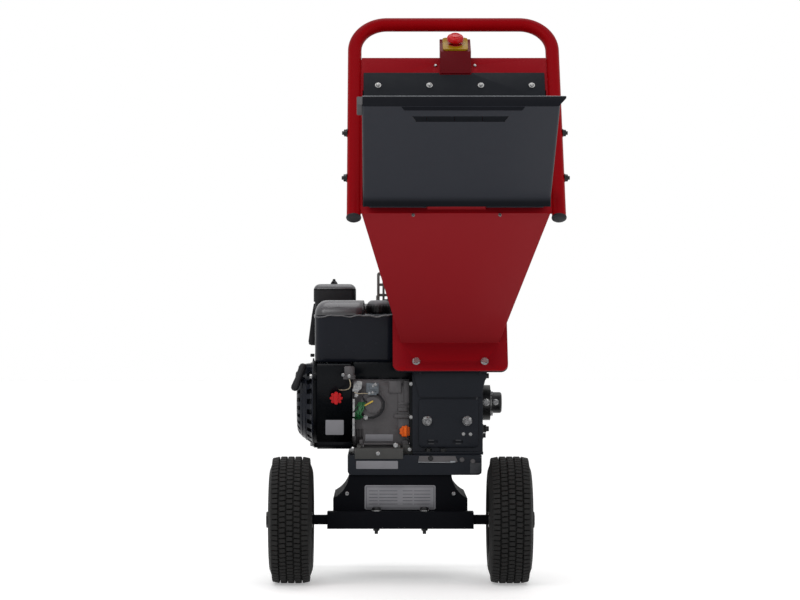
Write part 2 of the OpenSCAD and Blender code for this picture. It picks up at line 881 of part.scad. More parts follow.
module shaft_bearings() {
  color("Silver") for (x = [-85 - bearing_w, -2, house_x1 + 1])
    ring_x(x, x + bearing_w, bearing_r - 0.02, shaft_r + run_fit, crank_y, crank_z);
}

// cutter housing

module house_side() {
  polygon([[house_y0, deck_top], [crank_y + 109, deck_top], [crank_y + 109, 372], [duct_y1, 400],
    [duct_y1, 520], [duct_y0 + 4, 520], [duct_y0 + 4, throat_z(duct_y0 + 4)], [throat_a[0], throat_a[1]],
    [house_y0 + 30, throat_a[1] - 8], [house_y0, throat_a[1] - 18]]);
}

function throat_z(y) =
  throat_a[1] + (y - throat_a[0]) * (throat_b[1] - throat_a[1]) / (throat_b[0] - throat_a[0]);

module rotor_housing() {
  color("DimGray") difference() {
    union() {
      side_plate(house_x0, inner_x0) house_side();
      side_plate(inner_x1, house_x1) house_side();
      difference() {
        ring_x(inner_x0 - 1, inner_x1 + 1, house_r + 4, house_r, crank_y, crank_z);
        side_plate(inner_x0 - 2, inner_x1 + 2)
          translate([crank_y, crank_z])
            polygon([[0, 0], [200, 0], [200, 200], [-140, 200], [-140, 176]]);
      }
      block(inner_x0 - 1, inner_x1 + 1, crank_y + house_r, duct_y1, crank_z - 2, 440);
      block(inner_x0 - 1, inner_x1 + 1, house_y0, house_y0 + 4, deck_top, throat_a[1] - 20);
      block(house_x0, house_x1, house_y0 - 22, house_y0 + 2, deck_top, deck_top + 6);
      block(inner_x0 - 1, inner_x1 + 1, crank_y + 88, crank_y + 109, deck_top, deck_top + 6);
    }
    along_x(house_x0 - 1, inner_x0 + 1, shaft_r + 6, crank_y, crank_z);
    along_x(inner_x1 - 1, house_x1 + 1, shaft_r + 2, crank_y, crank_z);
    house_foot_places() bolt_hole(8, 60);
    side_bolt_places() bolt_hole(10, 20);
    bearing_bolt_places() bolt_hole(6, 40);
    front_bolt_places() bolt_hole(10, 30);
    chute_bolt_places() bolt_hole(8, 20);
  }
}

// floor line of the chute carried on past its neck: length t from the neck
function floor_y(t) = neck_y + t * cos(lean) + floor_s * sin(lean);
function floor_z(t) = neck_z - t * sin(lean) + floor_s * cos(lean);

module throat_duct(grow, reach) {
  cx = (inner_x0 + inner_x1) / 2;
  half = (inner_x1 - inner_x0) / 2;
  hull() {
    mouth() translate([-neck_w_half + 5 - grow, chute_l + 1.5 - reach, floor_s + 3 - grow])
      cube([2 * (neck_w_half - 5 + grow), 1 + reach, neck_l - 6 + 2 * grow]);
    translate([cx, throat_a[0], throat_a[1]])
      rotate([atan2(throat_b[1] - throat_a[1], throat_b[0] - throat_a[0]), 0, 0])
        translate([-half - grow, 3 - grow, -reach])
          cube([2 * (half + grow), 84 + 2 * grow, 1 + reach]);
  }
}

module flange_outline() {
  difference() {
    rounded(-flange_half, flange_half, flange_s0, flange_s1, 16);
    translate([-neck_w_half + 4, floor_s + 2]) square([2 * (neck_w_half - 4), neck_l - 4]);
  }
}

module flange_bolt_places() {
  for (x = [-73, 73])
    for (s = [floor_s - 48, floor_s + neck_l + 15])
      mouth() translate([x, chute_l - flange_t, s]) rotate([90, 0, 0]) children();
}

module throat() {
  color("DimGray") difference() {
    union() {
      throat_duct(3, 0);
      mouth() translate([0, chute_l + flange_t, 0]) rotate([90, 0, 0])
        linear_extrude(height = flange_t - seat) flange_outline();
      front_plate(house_y0 - cover_t, house_y0 - seat)
        polygon([[hopper_x - 80, 448], [hopper_x + 80, 448], [hopper_x + 66, 392], [hopper_x - 66, 392]]);
      for (x = [-66, 62])
        block(hopper_x + x, hopper_x + x + 4, 39.5, house_y0 - seat, 440, 468);
    }
    throat_duct(0, 2);
    flange_bolt_places() bolt_hole(8, 20);
  }
}

module front_bolt_places() {
  for (x = [57.7, 143.5])
    translate([x, house_y0 - cover_t, 341]) rotate([90, 0, 0]) children();
}

module front_cover() {
  color("DimGray") difference() {
    front_plate(house_y0 - cover_t, house_y0) rounded(house_x0 + 14, house_x1 - 10, 285, 388, 8);
    front_bolt_places() bolt_hole(10, 30);
    for (x = [58, 112])
      translate([x, house_y0 - 10, 294]) cube([22, 20, 5]);
  }
}

module anvil() {
  color("Silver") difference() {
    side_plate(inner_x0 + seat, inner_x1 - seat)
      polygon([[floor_y(66), floor_z(66) - 0.3], [floor_y(100), floor_z(100) - 0.3],
        [floor_y(100) - 6, floor_z(100) - 10.5], [floor_y(66) - 18, floor_z(66) - 6]]);
    along_x(0, 200, tip_r + 1.2, crank_y, crank_z);
    side_plate(0, 220)
      polygon([[throat_a[0] - 60, throat_z(throat_a[0] - 60)], [throat_b[0], throat_b[1]],
        [throat_b[0], 600], [throat_a[0] - 60, 600]]);
  }
}

module bearing_bolt_places() {
  for (a = [45 : 90 : 315])
    translate([house_x1 + 20, crank_y + 32 * cos(a), crank_z + 32 * sin(a)]) rotate([0, 90, 0]) children();
}

module bearing_housing() {
  color("DimGray") difference() {
    along_x(house_x1, house_x1 + 20, 38.5, crank_y, crank_z);
    along_x(house_x1 - 1, house_x1 + 1 + bearing_w, bearing_r, crank_y, crank_z);
    along_x(house_x1 - 1, house_x1 + 30, shaft_r + 2, crank_y, crank_z);
    bearing_bolt_places() bolt_hole(6, 40);
  }
}

module bearing_cap() {
  x0 = house_x1 + 20;
  color("DimGray") difference() {
    union() {
      along_x(x0, x0 + 3, 25, crank_y, crank_z);
      along_x(x0, x0 + 20, 23, crank_y, crank_z);
      along_x(x0, x0 + 25, 18, crank_y, crank_z);
      translate([x0 + 20, crank_y, crank_z]) rotate([0, 90, 0]) rotate_extrude() {
        square([18, 5]);
        translate([18, 0]) intersection() {
          circle(r = 5);
          square(6);
        }
      }
    }
    along_x(x0 - 1, x0 + 14, 16, crank_y, crank_z);
  }
}

module side_bolt_places() {
  for (p = [[crank_y - 85, 437], [crank_y - 85, 323], [crank_y + 85, 300]])
    translate([house_x1, p[0], p[1]]) rotate([0, 90, 0]) children();
}

module chute_bolt_places() {
  for (z = [456, 500])
    translate([house_x1, duct_y0 + 44, z]) rotate([0, 90, 0]) children();
}

module housing_bolts() {
  color("Silver") {
    front_bolt_places() bolt(10, 16);
    side_bolt_places() bolt(10, 12);
    bearing_bolt_places() bolt(6, 24);
    flange_bolt_places() bolt(8, 2 * flange_t + 8);
    chute_bolt_places() bolt(8, 11);
  }
}

module discharge_chute() {
  t = 2.5;
  x0 = inner_x0 + seat;
  x1 = inner_x1 - seat;
  color("DimGray") difference() {
    union() {
      difference() {
        block(x0, x1, duct_y0, duct_y1, 440, duct_top);
        block(x0 + t, x1 - t, duct_y0 + t, duct_y1 - t, 400, duct_top + 10);
        along_x(0, 220, tip_r + 6, crank_y, crank_z);
      }
      for (x = [x0 - 1, x1 - 5])
        along_x(x, x + 6, 12, pivot_y, pivot_z);
    }
    along_x(0, 220, 4 + pin_fit, pivot_y, pivot_z);
    chute_bolt_places() bolt_hole(8, 20);
  }
}

module deflector() {
  t = 2.5;
  x0 = inner_x0 - 4;
  x1 = inner_x1 + 4;
  color("DimGray") translate([0, pivot_y, pivot_z]) {
    for (x = [x0, x1 - t])
      side_plate(x, x + t) {
        circle(r = 14);
        polygon([[-14, 0], [-18, 26], [2, 58], [46, 72], [92, 66], [92, 24], [13, -5]]);
      }
    side_plate(x0, x1)
      polygon([[-18, 26], [2, 58], [46, 72], [92, 66], [92, 63.5], [46, 69.4], [3.5, 56], [-15.5, 26]]);
    along_x(x0 - 6, x0 + 9, 4, 0, 0);
    along_x(x1 - 9, x1 + 14, 4, 0, 0);
    along_x(x0 - 6, x0 + 1, 8, 0, 0);
    along_x(x1 + 2, x1 + 14, 13, 0, 0);
  }
}

// hopper, handle and tray

module chute_duct(grow, reach) {
  wide = mouth_half - sheet - rim_step;
  hull() {
    mouth() translate([-wide - grow, 14 - reach, floor_s - grow])
      cube([2 * (wide + grow), 1 + reach, mouth_l - sheet + 2 * grow]);
    mouth() translate([-neck_w_half + sheet - grow, chute_l - 1, floor_s - grow])
      cube([2 * (neck_w_half - sheet + grow), 1 + reach, neck_l - sheet + 2 * grow]);
  }
}

module hopper() {
  color("FireBrick") difference() {
    union() {
      difference() {
        chute_duct(sheet, 0);
        chute_duct(0, 2);
      }
      mouth() difference() {
        translate([-mouth_half, strip_y, floor_s - sheet - rim_step])
          cube([2 * mouth_half, 22.5, mouth_l + sheet + 2 * rim_step]);
        translate([-mouth_half + sheet, strip_y - 1, floor_s - rim_step])
          cube([2 * (mouth_half - sheet), 40, mouth_l - sheet + 2 * rim_step]);
      }
      mouth() translate([0, chute_l, 0]) rotate([90, 0, 0])
        linear_extrude(height = flange_t) flange_outline();
      mouth() translate([-mouth_half, strip_y, strip_s]) cube([2 * mouth_half, sheet, roof_s - strip_s]);
      mouth() translate([-mouth_half, strip_y, -6]) cube([2 * mouth_half, sheet, 18]);
      mouth() difference() {
        union() {
          translate([-57, hinge_y, hinge_s]) rotate([0, 90, 0]) cylinder(h = 114, r = knuckle_r);
          translate([-57, hinge_y, hinge_s - knuckle_r]) cube([114, strip_y - hinge_y + 1, sheet]);
        }
        translate([-60, hinge_y, hinge_s]) rotate([0, 90, 0]) cylinder(h = 120, r = pin_r + pin_fit);
      }
    }
    flange_bolt_places() bolt_hole(8, 20);
    tube_bolt_places() bolt_hole(8, 40);
    screw_places() translate([0, 0, -10]) cylinder(h = 20, r = 2.8);
  }
}

module handle_frame() {
  straight = handle_l - handle_bend;
  bar = tube_c - handle_bend;
  color("FireBrick") mouth() difference() {
    for (m = [0, 1]) mirror([m, 0, 0]) {
      translate([tube_c, 0, 0]) difference() {
        cylinder(h = straight, r = tube_r);
        translate([0, 0, -1]) cylinder(h = straight + 2, r = tube_r - tube_wall);
      }
      translate([bar, 0, straight]) rotate([90, 0, 0])
        rotate_extrude(angle = 90) translate([handle_bend, 0]) difference() {
          circle(r = tube_r);
          circle(r = tube_r - tube_wall);
        }
      translate([0, 0, handle_l]) rotate([0, 90, 0]) difference() {
        cylinder(h = bar, r = tube_r);
        translate([0, 0, -1]) cylinder(h = bar + 2, r = tube_r - tube_wall);
      }
    }
    for (m = [0, 1]) mirror([m, 0, 0])
      for (s = tube_bolt_s)
        translate([tube_c - 30, 0, s]) rotate([0, 90, 0]) cylinder(h = 60, r = 4.3);
  }
}

module tube_caps() {
  color("Black") mouth() for (x = [-tube_c, tube_c])
    translate([x, 0, 0]) {
      translate([0, 0, -6]) cylinder(h = 5.8, r = tube_r + 1);
      translate([0, 0, -2]) cylinder(h = 24, r = tube_r - tube_wall - seat);
    }
}

module tube_bolt_places() {
  for (m = [-1, 1])
    for (s = tube_bolt_s)
      mouth() translate([m * handle_w / 2, 0, s]) rotate([0, m * 90, 0]) children();
}

module tube_bolts() {
  color("Silver") tube_bolt_places() {
    bolt(8, handle_w / 2 - mouth_half + 3);
    cylinder(h = 10.5, r = 4);
  }
}

module screw_places() {
  mouth() {
    for (x = curtain_screw_x)
      translate([x, strip_y - 3, strip_s + 18]) rotate([90, 0, 0]) children();
    for (x = [-37, 43])
      translate([x, strip_y, strip_s + 62]) rotate([90, 0, 0]) children();
  }
}

module hopper_screws() {
  color("Silver") screw_places() {
    cylinder(h = 3.4, r = 6);
    translate([0, 0, -8]) cylinder(h = 9, r = 2.5);
  }
}

module splash_curtain() {
  half = 168;
  drop = 200;
  color("Black") mouth() difference() {
    union() {
      translate([-half, strip_y - 3, strip_s - 4]) cube([2 * half, 3, 54]);
      translate([0, strip_y - 1.5, strip_s - 4]) rotate([lean, 0, 0])
        translate([-half, -1.5, -drop]) cube([2 * half, 3, drop]);
      translate([-half, strip_y - 1.5, strip_s - 4]) rotate([0, 90, 0]) cylinder(h = 2 * half, r = 1.5);
    }
    translate([0, strip_y - 1.5, strip_s - 4]) rotate([lean, 0, 0])
      for (x = [-112, -56, 0, 56, 112])
        translate([x - 1, -10, -drop - 5]) cube([2, 20, drop - 15]);
    translate([box_x - hopper_x - box_half - 1, strip_y - 10, box_s - box_reach])
      cube([2 * box_half + 2, 20, 2 * box_reach]);
    for (x = curtain_screw_x)
      translate([x, 0, strip_s + 18]) rotate([90, 0, 0]) cylinder(h = 30, r = 2.8);
  }
}

module hinge_pin() {
  color("Silver") mouth() translate([-174, hinge_y, hinge_s]) rotate([0, 90, 0])
    cylinder(h = 348, r = pin_r);
}

module feed_tray() {
  color("DimGray") tray_frame() difference() {
    union() {
      translate([-tray_half, panel_p, 0]) cube([2 * tray_half, panel_t, tray_l]);
      for (x = [-tray_half, tray_half - panel_t])
        side_plate(x, x + panel_t)
          polygon([[panel_p, 14], [34, 14], [38, 40], [lip_h + panel_p, tray_l], [panel_p, tray_l]]);
      translate([0, 0, tray_l - panel_t]) linear_extrude(height = panel_t)
        polygon([[-tray_half, panel_p], [tray_half, panel_p], [ear_half, panel_p + lip_h - 4],
          [ear_half, panel_p + lip_h], [-ear_half, panel_p + lip_h], [-ear_half, panel_p + lip_h - 4]]);
      for (x = [-171, 59])
        translate([x, 0, 0]) rotate([0, 90, 0]) cylinder(h = 112, r = knuckle_r);
    }
    translate([-58.5, -20, -10]) cube([117, 40, 20]);
    for (m = [-1, 1])
      translate([m * 180 - 9, -20, -10]) cube([18, 40, 19]);
    translate([-200, 0, 0]) rotate([0, 90, 0]) cylinder(h = 400, r = pin_r + pin_fit);
    translate([0, panel_p - 1, tray_l - 42]) rotate([-90, 0, 0]) linear_extrude(height = panel_t + 2)
      polygon([[-slot_w / 2, -9], [slot_w / 2, -9], [slot_w / 2 - 8, 9], [-slot_w / 2 + 8, 9]]);
  }
}

// stop switch

module stop_switch_box() {
  color("FireBrick") difference() {
    box_frame() side_plate(-box_half, box_half)
      polygon([[-31.6, -30], [-31.6, 15], [18.9, 15 + 50.5 * tan(lean)], [18.9, -9]]);
    mouth() translate([-200, strip_y - seat, 0]) cube([400, 80, roof_s + rim_step + seat]);
    button_frame() translate([0, 0, -24]) cylinder(h = 40, r = 9);
  }
}

module stop_switch_plate() {
  color("Gold") button_frame() difference() {
    translate([0, 0, 0.2]) linear_extrude(height = 4) rounded(-25.5, 25.5, -27, 27, 5);
    translate([0, 0, -2]) cylinder(h = 12, r = 8 + pin_fit);
  }
}

module stop_button() {
  color("Red") button_frame() {
    translate([0, 0, -14]) cylinder(h = 26, r = 8);
    translate([0, 0, 5.5 + button_travel]) cylinder(h = 8, r = button_d / 2);
    translate([0, 0, 13.5 + button_travel]) rotate_extrude() {
      square([button_d / 2 - 5, 5]);
      translate([button_d / 2 - 5, 0]) intersection() {
        circle(r = 5);
        square(6);
      }
    }
  }
}

// the whole machine, or one piece

translate(shift) {
  chassis();
  axle_beam();
  axle();
  axle_nuts();
  axle_bolts();
  rear_stand();
  stand_feet();
  engine_deck();
  deck_bolts();
  rating_plates();
  left_tyre();
  left_rim();
  right_tyre();
  right_rim();
  crankcase();
  crankcase_cover();
  engine_screws();
  cylinder_block();
  spark_plug();
  fan_shroud();
  recoil_housing();
  starter_pulley();
  starter_handle();
  fuel_tank();
  fuel_cap();
  carburettor();
  air_filter_box();
  air_filter_cover();
  muffler();
  muffler_guard();
  governor();
  engine_wires();
  engine_switch();
  oil_cap();
  throttle_lever();
  crankshaft();
  flywheel();
  rotor_drum();
  knives();
  shaft_bearings();
  rotor_housing();
  throat();
  front_cover();
  anvil();
  bearing_housing();
  bearing_cap();
  housing_bolts();
  discharge_chute();
  deflector();
  hopper();
  handle_frame();
  tube_caps();
  tube_bolts();
  splash_curtain();
  hopper_screws();
  hinge_pin();
  feed_tray();
  stop_switch_box();
  stop_switch_plate();
  stop_button();
}
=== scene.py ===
import json
import math

import bmesh
import bpy
from mathutils import Matrix, Vector


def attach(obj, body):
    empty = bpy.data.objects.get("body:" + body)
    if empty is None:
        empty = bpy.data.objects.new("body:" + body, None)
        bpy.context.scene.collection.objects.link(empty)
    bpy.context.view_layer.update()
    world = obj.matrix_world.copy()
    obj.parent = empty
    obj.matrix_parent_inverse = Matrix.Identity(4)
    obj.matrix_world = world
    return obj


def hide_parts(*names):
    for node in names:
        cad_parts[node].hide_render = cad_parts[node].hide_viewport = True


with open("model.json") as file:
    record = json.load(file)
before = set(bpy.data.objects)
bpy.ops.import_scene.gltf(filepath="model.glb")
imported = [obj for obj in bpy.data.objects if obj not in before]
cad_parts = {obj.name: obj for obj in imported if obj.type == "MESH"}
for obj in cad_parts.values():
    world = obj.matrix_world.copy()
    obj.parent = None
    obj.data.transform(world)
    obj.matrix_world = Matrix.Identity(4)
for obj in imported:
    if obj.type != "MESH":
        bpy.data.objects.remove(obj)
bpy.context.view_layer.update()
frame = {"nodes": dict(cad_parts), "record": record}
scene = bpy.context.scene
cadNodes = frame["nodes"]
bodyOf = {n: b for b, names in frame["record"]["behaviour"]["bodies"].items() for n in names}
print("frame loaded,", len(cadNodes), "nodes")

# all pieces are drawn in the machine's own millimetres and carried into the frame at the end
machine = {
    "shift": (-24.5, 170.875, 0), "lean": 31, "mouth": (107, -400, 771), "hinge": (0, -17, 10),
    "crankY": 165, "crankZ": 376, "axleZ": 134, "wheelX": 231,
    "button": (110, -215.3, 1119.2), "ropeX": -218, "ropeTurn": 70, "ropeOut": 35,
}
toFrame = Matrix.Scale(0.001, 4) @ Matrix.Translation(machine["shift"])


def turned(degrees, axis):
    return Matrix.Rotation(math.radians(degrees), 4, axis)


mouthFrame = Matrix.Translation(machine["mouth"]) @ turned(-machine["lean"], "X")
trayFrame = mouthFrame @ Matrix.Translation(machine["hinge"]) @ turned(90, "X")
buttonFrame = Matrix.Translation(machine["button"]) @ turned(machine["lean"], "X")
ropeFrame = (Matrix.Translation((machine["ropeX"], machine["crankY"], machine["crankZ"]))
             @ turned(machine["ropeTurn"], "X") @ Matrix.Translation((0, machine["ropeOut"], 0)))


# camera: level, a long way in front of the machine, as in the photograph
camera = {"place": (-0.0656, -5.329, 0.600), "lens": 116.7, "sensor": 36, "shiftX": 0.02375, "far": 60}
camData = bpy.data.cameras.new("photoCamera")
camData.lens = camera["lens"]
camData.sensor_width = camera["sensor"]
camData.shift_x = camera["shiftX"]
camData.clip_end = camera["far"]
camObj = bpy.data.objects.new("photoCamera", camData)
scene.collection.objects.link(camObj)
camObj.location = camera["place"]
camObj.rotation_euler = (math.radians(90), 0, 0)
scene.camera = camObj


# shader building

def addNode(tree, kind, inputs=None, **props):
    node = tree.nodes.new(kind)
    for key, value in props.items():
        setattr(node, key, value)
    for key, value in (inputs or {}).items():
        if isinstance(value, bpy.types.NodeSocket):
            tree.links.new(value, node.inputs[key])
        else:
            node.inputs[key].default_value = value
    return node


def noise(tree, place, scale, detail=4, rough=0.55, stretch=(1, 1, 1)):
    spot = addNode(tree, "ShaderNodeMapping", {"Vector": place, "Scale": stretch}).outputs["Vector"]
    return addNode(tree, "ShaderNodeTexNoise", {
        "Vector": spot, "Scale": scale, "Detail": detail, "Roughness": rough}).outputs["Fac"]


def spread(tree, value, low, high, outLow=0.0, outHigh=1.0):
    return addNode(tree, "ShaderNodeMapRange", {
        "Value": value, "From Min": low, "From Max": high, "To Min": outLow, "To Max": outHigh}).outputs["Result"]


def blendColour(tree, amount, first, second):
    node = addNode(tree, "ShaderNodeMix", {0: amount, 6: first, 7: second}, data_type="RGBA")
    return node.outputs[2]


def colour4(rgb):
    return (rgb[0], rgb[1], rgb[2], 1)


# one finish: two close colours in soft patches, uneven gloss and a fine grain; where asked also dust, pits, waviness
# and painted light and shade, another tone on faces turned up or down
surface = {"glossScale": 60, "grainDepth": 0.0004, "pitDepth": 0.0006, "waveDepth": 0.01}


def makeFinish(name, base, shade, rough, glossSpread, grain, grainStrength, patch, more):
    mat = bpy.data.materials.new(name)
    mat.use_nodes = True
    tree = mat.node_tree
    bsdf = tree.nodes["Principled BSDF"]
    coords = addNode(tree, "ShaderNodeTexCoord").outputs
    place = coords["Object"]
    patches = spread(tree, noise(tree, place, patch, 5), 0.35, 0.68)
    tone = blendColour(tree, patches, colour4(base), colour4(shade))
    if "dust" in more:
        amount, dustTone, scale = more["dust"]
        film = spread(tree, noise(tree, place, scale, 8, 0.7), 0.52, 0.8, 0, amount)
        tone = blendColour(tree, film, tone, colour4(dustTone))
    # painted light and shade: faces turned up or down take another tone, chosen by the height of the object-space
    # normal
    if "paintedLight" in more:
        upward = addNode(tree, "ShaderNodeSeparateXYZ", {"Vector": coords["Normal"]}).outputs["Z"]
        for low, high, paintedTone in more["paintedLight"]:
            tone = blendColour(tree, spread(tree, upward, low, high), tone, colour4(paintedTone))
    tree.links.new(tone, bsdf.inputs["Base Color"])
    gloss = noise(tree, place, surface["glossScale"], 5, 0.6)
    half = glossSpread / 2
    tree.links.new(spread(tree, gloss, 0.3, 0.7, rough - half, rough + half), bsdf.inputs["Roughness"])
    bsdf.inputs["Metallic"].default_value = more.get("metal", 0)
    bsdf.inputs["Specular IOR Level"].default_value = more.get("specular", 0.5)
    bumps = [(noise(tree, place, grain, 2, 0.5, more.get("brush", (1, 1, 1))), grainStrength, surface["grainDepth"])]
    if "pits" in more:
        scale, strength = more["pits"]
        cells = addNode(tree, "ShaderNodeTexVoronoi", {"Vector": place, "Scale": scale}).outputs["Distance"]
        bumps.append((cells, strength, surface["pitDepth"]))
    if "wave" in more:
        scale, strength = more["wave"]
        bumps.append((noise(tree, place, scale, 2), strength, surface["waveDepth"]))
    normal = {}
    for height, strength, depth in bumps:
        bump = addNode(tree, "ShaderNodeBump", {"Height": height, "Strength": strength, "Distance": depth, **normal})
        normal = {"Normal": bump.outputs["Normal"]}
    tree.links.new(normal["Normal"], bsdf.inputs["Normal"])
    return mat


